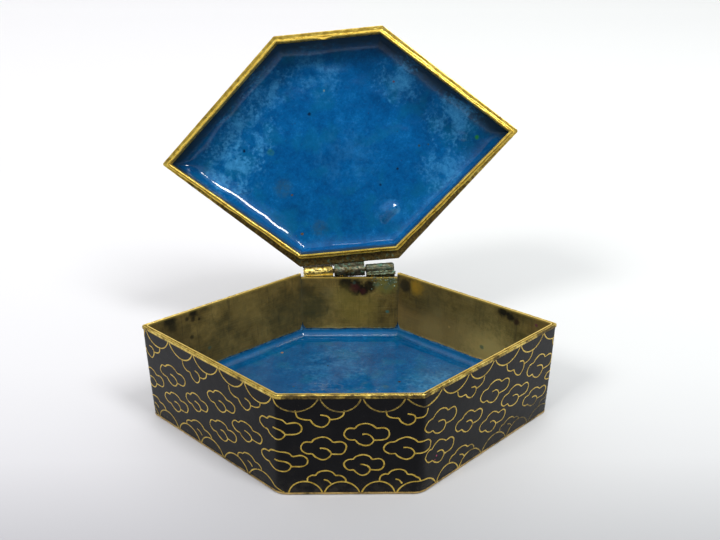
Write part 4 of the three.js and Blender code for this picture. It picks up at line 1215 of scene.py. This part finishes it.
rng = np.random.RandomState(77)
spots = []
for t in np.linspace(4.9, 12.4, 24):        # under the right barrel, on the lowered wall and its lining
    spots.append((hinge_point(-2.25 + rng.uniform(-0.2, 0.2), -0.86 + rng.uniform(-0.12, 0.12), t), rng.uniform(0.28, 0.42), (0, 0.35, 1)))
    spots.append((hinge_point(-1.62 + rng.uniform(-0.12, 0.1), -0.55 + rng.uniform(-0.16, 0.2), t + 0.15), rng.uniform(0.24, 0.40), (0, 1, 0.2)))
for t in np.linspace(-13.3, -4.6, 12):      # the seam between the left barrel and the wall
    spots.append((hinge_point(-1.75 + rng.uniform(-0.1, 0.1), -0.95, t), rng.uniform(0.12, 0.2), (0, 0.5, 1)))
for i in range(34):
    x, z = rng.uniform(6.0, 13.0), 23.45 - abs(rng.normal(0, 1.2))
    spots.append((np.array([x, 31.32 + 0.02, z]), rng.uniform(0.10, 0.24), (0, 1, 0)))
lumps("hinge_crust", spots, place_box, "box", M_CRUST, 401, 0.45)


# ------------------------------------------------------------------- the lid
def lid_profile():
    """(outline, inset, radius, z, kind) from the middle of the dish's rim side to the crown."""
    def curve(pts, n):
        pts = np.array(pts, float)
        d = np.concatenate([[0], np.cumsum(np.linalg.norm(np.diff(pts[:, [0, 2]], axis=0), axis=1))])
        t = np.linspace(0, d[-1], n)
        ext = np.vstack([2 * pts[0] - pts[1], pts, 2 * pts[-1] - pts[-2]])
        out = []
        for x in t:
            i = min(max(np.searchsorted(d, x, side="right") - 1, 0), len(pts) - 2)
            u = (x - d[i]) / (d[i + 1] - d[i])
            p0, p1, p2, p3 = ext[i:i + 4]
            out.append(0.5 * ((2 * p1) + (-p0 + p2) * u + (2 * p0 - 5 * p1 + 4 * p2 - p3) * u * u + (-p0 + 3 * p1 - 3 * p2 + p3) * u ** 3))
        return np.array(out)

    dish = curve([(6.4, 1.6, MOUTH + 5.78), (5.0, 1.55, MOUTH + 5.74), (3.6, 1.5, MOUTH + 5.58), (2.2, 1.3, MOUTH + 5.25), (1.15, 1.0, MOUTH + 4.4), (0.5, 0.7, MOUTH + 3.1), (0.02, 0.4, MOUTH + 1.66)], 20)
    crown = curve([(0.06, 1.3, MOUTH + 3.9), (0.50, 1.5, MOUTH + 5.4), (1.7, 1.7, MOUTH + 6.40), (3.3, 2.1, MOUTH + 7.08), (5.2, 2.5, MOUTH + 7.33), (9.0, 2.5, MOUTH + 7.50), (15.0, 2.5, MOUTH + 7.68)], 26)
    return dish, crown


DISH_CURVE, CROWN_CURVE = lid_profile()
blister = (13.26, 20.05)


def dish_relief(p):
    """Unevenness of the dish's floor, towards the viewer of the open lid."""
    q = p[..., :2]
    flat = np.concatenate([q, np.zeros(q.shape[:-1] + (1,))], -1)
    h = 0.13 * waves(flat, 15, 501) + 0.06 * waves(flat, 6.0, 502, octaves=2)
    d = ((q - np.array(blister)) ** 2).sum(-1) / 3.0 ** 2
    h = h + np.where(d < 6, 1.55 * np.exp(-d * d), 0.0)
    h = h + dents(q, [(15.6, 22.4), (11.0, 21.6), (14.2, 18.3)], [1.4, 1.2, 0.9], [0.35, 0.25, 0.30])
    h = h + dents(q, [(36.0, -0.8), (39.8, 2.8), (42.4, 0.9), (24.0, -15.0), (20.5, -18.5)], [1.6, 1.5, 1.1, 1.8, 1.2], [0.70, 0.70, 0.50, 0.45, 0.25])
    h = h - dents(q, [(9.0, -12.0), (-8, -10.8), (-27.6, -2.1), (10.6, 11.2)], [2.4, 0.5, 0.5, 0.5], [0.10, 0.12, 0.12, 0.12])
    h = h + dents(q, [(-13.2, 23.2), (-34.0, 9.3), (-15.0, 11.7), (27.0, -8.0), (22.0, 14.0)], [0.7, 0.6, 0.5, 0.9, 1.3], [0.10, 0.10, 0.09, 0.10, 0.10])
    return h


def lid_shell(blue, black):
    S = places(0.8, 6)
    rows, kind = [], []
    first = ring_grid([(COL, *DISH_CURVE[0])], S)[0]
    inner = to_centre(first, 40)
    for i, r in enumerate(reversed(inner)):
        r = r.copy()
        d = len(inner) - 1 - i
        r[:, 2] -= dish_relief(r) * min(1.0, (d + 1) / 4)
        if i == 0:
            r[:, 2] = r[0, 2]
        rows.append(r)
        kind.append(0)
    for c in DISH_CURVE:
        p = ring_grid([(COL, *c)], S)[0]
        xy, out = ring_xy(COL, S, c[0], c[1])
        nn = np.column_stack([out, np.zeros(len(S))])
        f = np.clip((p[:, 2] - (MOUTH + 2.0)) / 1.5, 0, 1)
        soft = np.clip((S - 204) / 9, 0, 1) * np.clip((249 - S) / 9, 0, 1)
        p = p - nn * (1.35 * soft * math.sin(math.pi * min(1.0, c[0] / 6.4)))[:, None]
        p = p + nn * ((0.13 + 0.10 * soft) * waves(p, 9, 505) * f)[:, None]
        p[:, 2] += (0.06 + 0.05 * soft) * waves(p, 10, 506) * f
        rows.append(p)
        kind.append(0)
    for by, r, z in ((-0.51, 0.3, MOUTH + 1.66), (-0.51, 0.3, MOUTH + 0.96)):
        rows.append(ring_grid([(COL, by, r, z)], S)[0])
        kind.append(1)
    for z in list(np.linspace(MOUTH + 0.96, MOUTH + 3.9, 7)[:-1]):
        xy, out = ring_xy(OUT, S, 0.06, 1.3)
        p = np.column_stack([xy, np.full(len(S), z)])
        nn = np.column_stack([out, np.zeros(len(S))])
        rows.append(p - nn * (0.6 * wobble(p))[:, None])
        kind.append(1)
    for c in CROWN_CURVE:
        p = ring_grid([(OUT, *c)], S)[0]
        p[:, 2] -= 0.03 + 0.02 * waves(p, 15, 507)
        rows.append(p)
        kind.append(1)
    last = rows[-1]
    for i, r in enumerate(to_centre(last, 18, last[:, 2].mean())):
        r = r.copy()
        r[:, 2] -= 0.02 * waves(r, 15, 507) * (1 if i < 17 else 0)
        rows.append(r)
        kind.append(1)
    g = np.array(rows)
    m, n = g.shape[:2]
    mats = []
    for i in range(m - 1):
        mats += [max(kind[i], kind[i + 1]) if kind[i] == kind[i + 1] else 1] * n
    # painted shade on the glass: darker by its distance from the flange, more on the side away from the hinge
    x, y = g[..., 0], g[..., 1]
    col = inset(COL, 0.0)
    shade = np.zeros(g.shape[:2])
    reach = [2.7, 4.1, 5.0, 1.2, 1.1, 1.2]
    power = [0.92, 1.02, 1.08, 0.7, 1.3, 0.8]
    for k in range(6):
        a, b = col[k], col[(k + 1) % 6]
        d = (b - a) / np.linalg.norm(b - a)
        dist = (x - a[0]) * -d[1] + (y - a[1]) * d[0]
        shade = np.maximum(shade, power[k] * np.clip(1 - dist / reach[k], 0, 1))
    return build("lid_enamel_shell", g.reshape(-1, 3), grid_faces(m, n), place_lid, "lid", ("lid_body",),
                 (blue, black), mats, sharp=38, attrs={"shade": np.clip(shade, 0, 1).reshape(-1)}, merge=2e-7), g, S


lid_ob, lid_grid, lid_S = lid_shell(M_DISH, M_BLACK)


def lid_band():
    S = places(0.5, 6)
    prof_out = [(0.14, 0.5, MOUTH), (0.04, 0.56, MOUTH + 0.06), (0.0, 0.6, MOUTH + 0.18), (0.0, 0.6, MOUTH + 0.74), (0.05, 0.6, MOUTH + 0.9)]
    rows = [ring_grid([(OUT, by, r, z)], S)[0] for by, r, z in prof_out]
    inner_top = ring_grid([(COL, -0.51, 0.3, MOUTH + 0.9)], S)[0]
    inner_low = ring_grid([(COL, -0.51, 0.3, MOUTH + 0.02)], S)[0]
    rows.append(inner_top)
    rows.append(inner_low)
    outer_low = rows[0]
    for t in (0.16, 0.33, 0.5, 0.67, 0.84):
        rows.append(inner_low + (outer_low - inner_low) * t)
    g = np.array(rows)
    # pits and scrapes in the visible face of the ledge, which looks out of the lid's mouth
    rng = np.random.RandomState(21)
    s = np.concatenate([rng.uniform(0, AROUND, 120), rng.uniform(START[2] - 1, START[2] + 16, 60)])
    xy, _ = ring_xy(OUT, s, rng.uniform(0.2, 2.0, len(s)), 0.5)
    c = np.column_stack([xy, np.full(len(s), MOUTH)])
    r = rng.uniform(0.2, 0.6, len(s))
    d = rng.uniform(0.03, 0.11, len(s))
    face = np.zeros(g.shape[0])
    face[6:] = 1
    face[0] = 0.6
    face[1] = 0.3
    bite = dents(g, c, r, d) + 0.02 * (1 + waves(g, 2.4, 22, octaves=2))
    g[..., 2] += bite * face[:, None]
    xyo, out = ring_xy(OUT, S, 0.0, 0.6)
    nn = np.column_stack([out, np.zeros(len(S))])
    for i in (1, 2, 3):
        g[i] -= nn * (0.015 * (1 + waves(g[i], 3.0, 23)) + 0.7 * dents(g[i], c, r, d))[:, None]
    m, n = g.shape[:2]
    along = np.mod(S, AROUND)
    back = (along > START[3] + 3) & (along < START[5] + WALL[5] - 3)
    far = (along > START[1] - 2) & (along < START[2] + 26)
    # painted shade and light on the ledge: darker along the back towards the hinge, lighter along the far side, over a
    # random tarnish
    dark = np.full(g.shape[:2], 0.24) + 0.16 * waves(g, 8, 24) + 0.16 * waves(g, 2.2, 25)
    dark = dark + np.where(back, 0.38, 0)[None] - np.where(far, 0.18, 0)[None]
    toward = np.where(along > START[5], (AROUND - along) / WALL[5], np.where(along > START[4], 1.0, (along - START[3]) / WALL[3]))
    toward = np.where((along > START[3]), np.clip(toward, 0, 1), 0.0)
    dark = np.where(back[None], 0.30 + 0.75 * toward[None] ** 0.7 + 0.12 * waves(g, 5, 24), dark)
    # painted shade in the crease where the ledge meets the collar
    grime = np.zeros(g.shape[:2])
    grime[6] = 0.9
    grime[7] = 0.25
    verd = np.zeros(g.shape[:2]) + 0.15
    hot = np.exp(-((along - (START[2] + 7)) / 7.0) ** 2)
    verd = verd + hot[None]
    verd = verd + np.where((along > START[4] - 2) & (along < START[5] + 2), 0.4, 0)[None]
    return build("lid_ledge", g.reshape(-1, 3), grid_faces(m, n, True, True), place_lid, "lid", ("lid_band",), (M_BAND,), sharp=48,
                 attrs={"dark": np.clip(dark, 0, 1).reshape(-1), "verd": np.clip(verd, 0, 1).reshape(-1), "grime": grime.reshape(-1)}, merge=0)


lid_band()


def lid_collar():
    S = places(0.45, 6)
    M = MOUTH
    along = np.mod(S, AROUND)
    lip = 0.56 + 0.10 * waves(np.column_stack([ring_xy(COL, S, 0.0, 0.3)[0], np.zeros(len(S))]), 7, 604)
    lip = np.where((along > START[0]) & (along < START[3]), lip * 0.80, lip)
    prof = [(-0.45, 0.3, M + 1.6), (-0.45, 0.3, M + 0.9), (-0.45, 0.3, M - 0.01), (-0.45 - lip, 0.5, M - 0.01), (-0.51 - lip, 0.5, M - 0.06), (-0.50 - lip, 0.5, M - 0.13), (-0.42 - lip, 0.5, M - 0.18),
            (-0.45 - 0.5 * lip, 0.45, M - 0.17), (-0.53, 0.35, M - 0.13), (-0.46, 0.3, M - 0.20), (-0.35, 0.3, M - 1.1), (-0.26, 0.3, M - 2.05), (-0.22, 0.3, M - 2.16), (-0.12, 0.3, M - 2.2),
            (-0.02, 0.3, M - 2.19), (0.05, 0.3, M - 2.13), (0.10, 0.3, M - 2.18), (0.16, 0.3, M - 2.17), (0.20, 0.3, M - 2.08), (0.17, 0.3, M - 1.7), (0.12, 0.3, M - 1.1), (0.03, 0.3, M), (0.0, 0.3, M + 0.8), (0.0, 0.3, M + 1.6)]
    g = ring_grid([(COL, *c) for c in prof], S)
    xy, out = ring_xy(COL, S, 0.0, 0.3)
    nn = np.column_stack([out, np.zeros(len(S))])
    free = np.clip((M - g[..., 2]) / 2.2, 0, 1)                 # the free edge bends, the root doesn't
    push = -0.10 * (0.5 + 0.5 * waves(np.column_stack([xy, np.zeros(len(S))]), 9, 601))
    kink = np.exp(-((along - (START[1] + WALL[1] / 2 - 1.2)) / 1.7) ** 2)
    push = push - 0.55 * kink                                   # the dent in the middle of the far side
    g = g + nn[None] * (push[None] * free)[..., None]
    rng = np.random.RandomState(23)
    s = rng.uniform(0, AROUND, 90)
    cxy, _ = ring_xy(COL, s, 0.0, 0.3)
    c = np.column_stack([cxy, np.full(90, M - 2.2)])
    g[..., 2] += (dents(g, c, rng.uniform(0.25, 0.9, 90), rng.uniform(0.015, 0.07, 90)) + 0.016 * (1 + waves(g, 2.6, 602))) * np.clip(free * 1.4 - 0.4, 0, 1)
    m, n = g.shape[:2]
    grime = np.zeros((m, n))
    grime[14:17] = np.array([0.2, 0.75, 0.2])[:, None]
    grime[7:10] = np.array([0.0, 0.75, 0.25])[:, None]
    # painted shade at the collar's root, up inside the lid
    root = np.clip((g[..., 2] - (M + 0.75)) / 0.8, 0, 1)
    root[:3] = 0
    grime = np.maximum(grime, root * 0.95)
    # painted shade: darker higher up into the lid and on the outer face next to the ledge, over a random tarnish
    dark = 0.08 + 0.14 * waves(g, 7, 603) + 0.10 * waves(g, 2.4, 605) + 0.25 * np.clip((g[..., 2] - M) / 1.6, 0, 1)
    dark[:3] += 0.35
    dark[3:8] += 0.03
    dark = dark + 0.15 * kink[None]
    return build("lid_flange", g.reshape(-1, 3), grid_faces(m, n, True, True), place_lid, "lid", ("lid_collar",), (M_COLLAR,), sharp=48,
                 attrs={"dark": np.clip(dark, 0, 1).reshape(-1), "grime": grime.reshape(-1), "verd": np.zeros(m * n)}, merge=0)


lid_collar()


# wires on the outside of the lid: scallops on its side and shoulder, clouds on its top
def lid_wires():
    pile = Pile()
    rng = np.random.RandomState(9)
    m, n = lid_grid.shape[:2]
    faces = [tuple(int(x) for x in f) for f in grid_faces(m, n)]
    tree = BVHTree.FromPolygons([tuple(v) for v in lid_grid.reshape(-1, 3)], faces)

    def crown(line):
        """(along the outline, inset) on the shoulder and top, found from above."""
        S, d = line[:, 0], line[:, 1]
        r = np.interp(d, CROWN_CURVE[:, 0], CROWN_CURVE[:, 1])
        z = np.interp(d, CROWN_CURVE[:, 0], CROWN_CURVE[:, 2])
        dz = np.gradient(CROWN_CURVE[:, 2]) / np.gradient(CROWN_CURVE[:, 0])
        slope = np.interp(d, CROWN_CURVE[:, 0], dz)
        xy, out = ring_xy(OUT, S, d, r)
        p = np.column_stack([xy, z])
        p[:, 2] -= 0.03 + 0.02 * waves(p, 15, 507)
        nn = np.column_stack([out * slope[:, None], np.ones(len(S))])
        return p, nn / np.linalg.norm(nn, axis=1)[:, None]

    def dullness(p):
        return np.clip(0.20 + 0.28 * waves(p, 20, 72), 0, 0.8)

    def lay(p, nrm, seed):
        sweep(pile, p, nrm, 0.36, proud=0.03, dull=dullness(p), seed=seed)

    count = 28
    for i in range(count):
        a, b = AROUND * i / count, AROUND * (i + 1) / count
        ln = arc3((a + 0.25, MOUTH + 0.93), ((a + b) / 2, MOUTH + 3.35), (b - 0.25, MOUTH + 0.93))
        S, z = ln[:, 0], ln[:, 1]
        xy, out = ring_xy(OUT, S, 0.06, 1.3)
        p = np.column_stack([xy, z])
        nn = np.column_stack([out, np.zeros(len(S))])
        lay(p - nn * (0.6 * wobble(p))[:, None], nn, i)
        ln = arc3((a + 0.3, 1.75), ((a + b) / 2 + rng.uniform(-0.1, 0.1), 4.7 + rng.uniform(-0.1, 0.1)), (b - 0.3, 1.75))
        p, nn = crown(ln)
        lay(p, nn, 50 + i)
    S = np.linspace(0, AROUND, 700)
    p, nn = crown(np.column_stack([S, np.full(len(S), 1.6)]))
    lay(p, nn, 90)

    def on_top(line):
        ps, ns = [], []
        for x, y in line:
            hit, nor, _, _ = tree.ray_cast(Vector((x, y, 60)), Vector((0, 0, -1)))
            ps.append(hit[:])
            nz = Vector(nor) if nor.z > 0 else -Vector(nor)
            ns.append(nz[:])
        return np.array(ps), np.array(ns)

    def depth_in(x, y):
        best = 1e9
        for k in range(6):
            a, d = _o[k], _dirs[k]
            best = min(best, (np.array([x, y]) - a) @ np.array([-d[1], d[0]]))
        return best

    made = 0
    for row in range(-8, 9):
        for col in range(-4, 5):
            cx = col * 17.6 + (8.8 if row % 2 else 0.0) + rng.uniform(-0.35, 0.35)
            cy = row * 4.15 + rng.uniform(-0.2, 0.2) - 0.4
            w, h = 9.3 * rng.uniform(0.96, 1.05), 5.4 * rng.uniform(0.95, 1.05)
            corners = [(cx + sx * w * 0.5, cy + sy * h * 0.28) for sx in (-1, 1) for sy in (-1, 1)] + [(cx, cy + h / 2), (cx, cy - h / 2)]
            if min(depth_in(*c) for c in corners) < 5.1:
                continue
            line = spline(fit_shape(CLOUD, cx - w / 2, cx + w / 2, cy - h / 2, cy + h / 2, rng, 0.085))
            p, nn = on_top(line)
            lay(p, nn, 300 + made)
            made += 1
    return pile


pile = lid_wires()
build("cloud_wires_lid", pile.verts(), pile.f, place_lid, "lid", (), (M_WIRE,), sharp=60, attrs=pile.attrs(), merge=0)

# solder that joins the lid's barrel to its wall
rng = np.random.RandomState(78)
spots = []
for t in np.linspace(-4.1, 3.8, 9):
    spots.append((hinge_point(-1.60, 0.62 + rng.uniform(0.0, 0.3), t), rng.uniform(0.16, 0.28), (0, 0.6, -1)))
for t in np.linspace(-13.1, -4.7, 46):      # what closes the gap between the ledge and the left barrel
    d = math.radians(np.interp(t, (-13, -9, -5), (144, 151, 157)) + rng.uniform(-4, 4))
    r = 1.82 + rng.uniform(-0.02, 0.02)
    spots.append((hinge_point(math.cos(d) * r, math.sin(d) * r, t), rng.uniform(0.29, 0.32), (0, 0.3, 1)))
for t in np.linspace(-4.2, 3.9, 36):       # dark lumps under the middle barrel, standing in for the shade in the gap beneath it: painted shade
    d = math.radians(-5 + rng.uniform(-7, 7))
    r = 1.50 + rng.uniform(-0.04, 0.05)
    spots.append((hinge_point(math.cos(d) * r, math.sin(d) * r, t), rng.uniform(0.27, 0.33), (0, 0.3, 1)))
lumps("lid_hinge_crust", spots, place_lid, "lid", M_SOLDER, 402, 0.1)

# brass solder under the left barrel
spots = []
for t in np.linspace(-12.7, -5.2, 26):
    spots.append((hinge_point(-1.18 + rng.uniform(-0.04, 0.04), -1.20 + rng.uniform(-0.03, 0.03), t), rng.uniform(0.27, 0.33), (0, -0.3, 1)))
lumps("hinge_solder_left", spots, place_box, "box", M_KNUCKLE_L, 403, 0.15)

# --------------------------------------------------------- floor, light, camera
g = Nodes("pale_floor")
_x, _y, _z = g.split()
# the floor darker in front of the box, painted shade for the darker foreground, and lighter far behind to even out the
# lamps' fall-off; tinted lavender on the left and green on the right, painted tints of the shadows
_c = g.ramp(g.math("DIVIDE", g.math("ADD", _y, 1100.0), 3500.0, clamp=True), [(max(0.0, (y + 1100.0) / 3500.0), c) for y, c in (
    (-1100, (0.90, 0.90, 0.903)), (-500, (0.72, 0.72, 0.725)), (-190, (0.45, 0.45, 0.46)), (-100, (0.287, 0.287, 0.299)), (-60, (0.350, 0.350, 0.363)), (-31, (0.500, 0.500, 0.511)), (6, (0.552, 0.554, 0.561)),
    (65, (0.595, 0.597, 0.600)), (230, (0.640, 0.642, 0.644)), (560, (0.72, 0.72, 0.723)), (1000, (0.81, 0.81, 0.813)), (1600, (0.92, 0.92, 0.922)), (2300, (0.985, 0.985, 0.985)))])
_t = g.mix(g.step(_x, -60.0, 60.0), (0.995, 0.985, 1.0), (0.990, 1.0, 0.988))
_c = g.mix(1.0, _c, _t, "MULTIPLY")
floor_mat = g.finish(_c, 0.6)
floor_mesh = bpy.data.meshes.new("floor")
floor_mesh.from_pydata([(-30, -30, -0.0002), (30, -30, -0.0002), (30, 30, -0.0002), (-30, 30, -0.0002)], [], [(0, 1, 2, 3)])
floor_mesh.materials.append(floor_mat)
floor = bpy.data.objects.new("floor", floor_mesh)
bpy.context.scene.collection.objects.link(floor)

world = bpy.data.worlds.new("studio")
bpy.context.scene.world = world
world.use_nodes = True
wt = world.node_tree
wt.nodes.clear()
w_out = wt.nodes.new("ShaderNodeOutputWorld")
w_bg = wt.nodes.new("ShaderNodeBackground")
w_tc = wt.nodes.new("ShaderNodeTexCoord")
w_sep = wt.nodes.new("ShaderNodeSeparateXYZ")
wt.links.new(w_tc.outputs["Generated"], w_sep.inputs[0])


def wmath(op, a, b):
    n = wt.nodes.new("ShaderNodeMath")
    n.operation = op
    for s, v in zip(n.inputs, (a, b)):
        if isinstance(v, bpy.types.NodeSocket):
            wt.links.new(v, s)
        else:
            s.default_value = v
    return n.outputs[0]


def wstep(v, a, b, c, d):
    n = wt.nodes.new("ShaderNodeMapRange")
    n.interpolation_type = "SMOOTHSTEP"
    wt.links.new(v, n.inputs["Value"])
    for k, x in zip(("From Min", "From Max", "To Min", "To Max"), (a, b, c, d)):
        n.inputs[k].default_value = x
    return n.outputs[0]


# a bright tent above and behind, a darker room low in front
_up = wstep(w_sep.outputs[2], 0.40, 0.82, 0.0, 1.0)
_back = wstep(w_sep.outputs[1], -0.35, 0.6, 0.0, 1.0)
_low = wmath("SUBTRACT", 1.0, wstep(w_sep.outputs[2], 0.02, 0.10, 0.0, 1.0))
_lit = wmath("MAXIMUM", wmath("MAXIMUM", _up, _back), wmath("MULTIPLY", _low, 0.85))
_strength = wmath("ADD", wmath("MULTIPLY", _lit, 0.92), 0.10)
wt.links.new(_strength, w_bg.inputs["Strength"])
w_bg.inputs["Color"].default_value = (0.98, 0.99, 1.0, 1)
wt.links.new(w_bg.outputs[0], w_out.inputs[0])


def area(name, at, aim, size, power, color=(1, 1, 1)):
    light = bpy.data.lights.new(name, "AREA")
    light.shape = "RECTANGLE"
    light.size, light.size_y = size
    light.energy = power
    light.color = color
    ob = bpy.data.objects.new(name, light)
    bpy.context.scene.collection.objects.link(ob)
    ob.location = at
    d = Vector(aim) - Vector(at)
    ob.rotation_euler = d.to_track_quat("-Z", "Y").to_euler()
    return ob


key_dir = np.array([-0.57, -0.49, 0.65])
key = area("key", tuple(key_dir * 3.0), (0, 0, 0.03), (0.70, 0.70), 52.0, (1.0, 0.99, 0.97))
key.visible_glossy = False
strip = area("strip", (0.72, -0.56, 1.26), (0, 0, 0.03), (0.30, 0.74), 14.5, (0.98, 0.99, 1.0))
strip.visible_glossy = False
window = area("window", (0.56, -0.52, 1.39), (0, 0, 0.03), (0.27, 0.62), 32.0, (0.98, 0.99, 1.0))
window.visible_diffuse = False
area("top", (0.0, -0.12, 1.44), (0, 0, 0.03), (0.42, 0.07), 2.0, (1.0, 1.0, 1.0))

cam = bpy.data.cameras.new("camera")
cam.sensor_width = 36.0
cam.lens = 753.5357311982148 / 720.0 * 36.0
cam.clip_start = 0.01
cam.clip_end = 50
cam_ob = bpy.data.objects.new("camera", cam)
bpy.context.scene.collection.objects.link(cam_ob)
C = place_box((0.15921019548349527, -163.19388328784078, 106.1485247862584))
right = Vector((0.9999164813407742, -0.01281095534190291, 0.001705803714642663))
upv = Vector((0.003319606389341402, 0.3821460138740152, 0.9240959930080969))
fwd = Vector((0.012490418588060336, 0.9240131511528549, -0.38215662488051455))
rot = Matrix((right, upv, -fwd)).transposed()
cam_ob.matrix_world = Matrix.Translation(Vector(C)) @ rot.to_4x4()
bpy.context.scene.camera = cam_ob

vs = bpy.context.scene.view_settings
vs.view_transform = "Standard"
vs.look = "None"
vs.exposure = 0.0
vs.gamma = 1.0
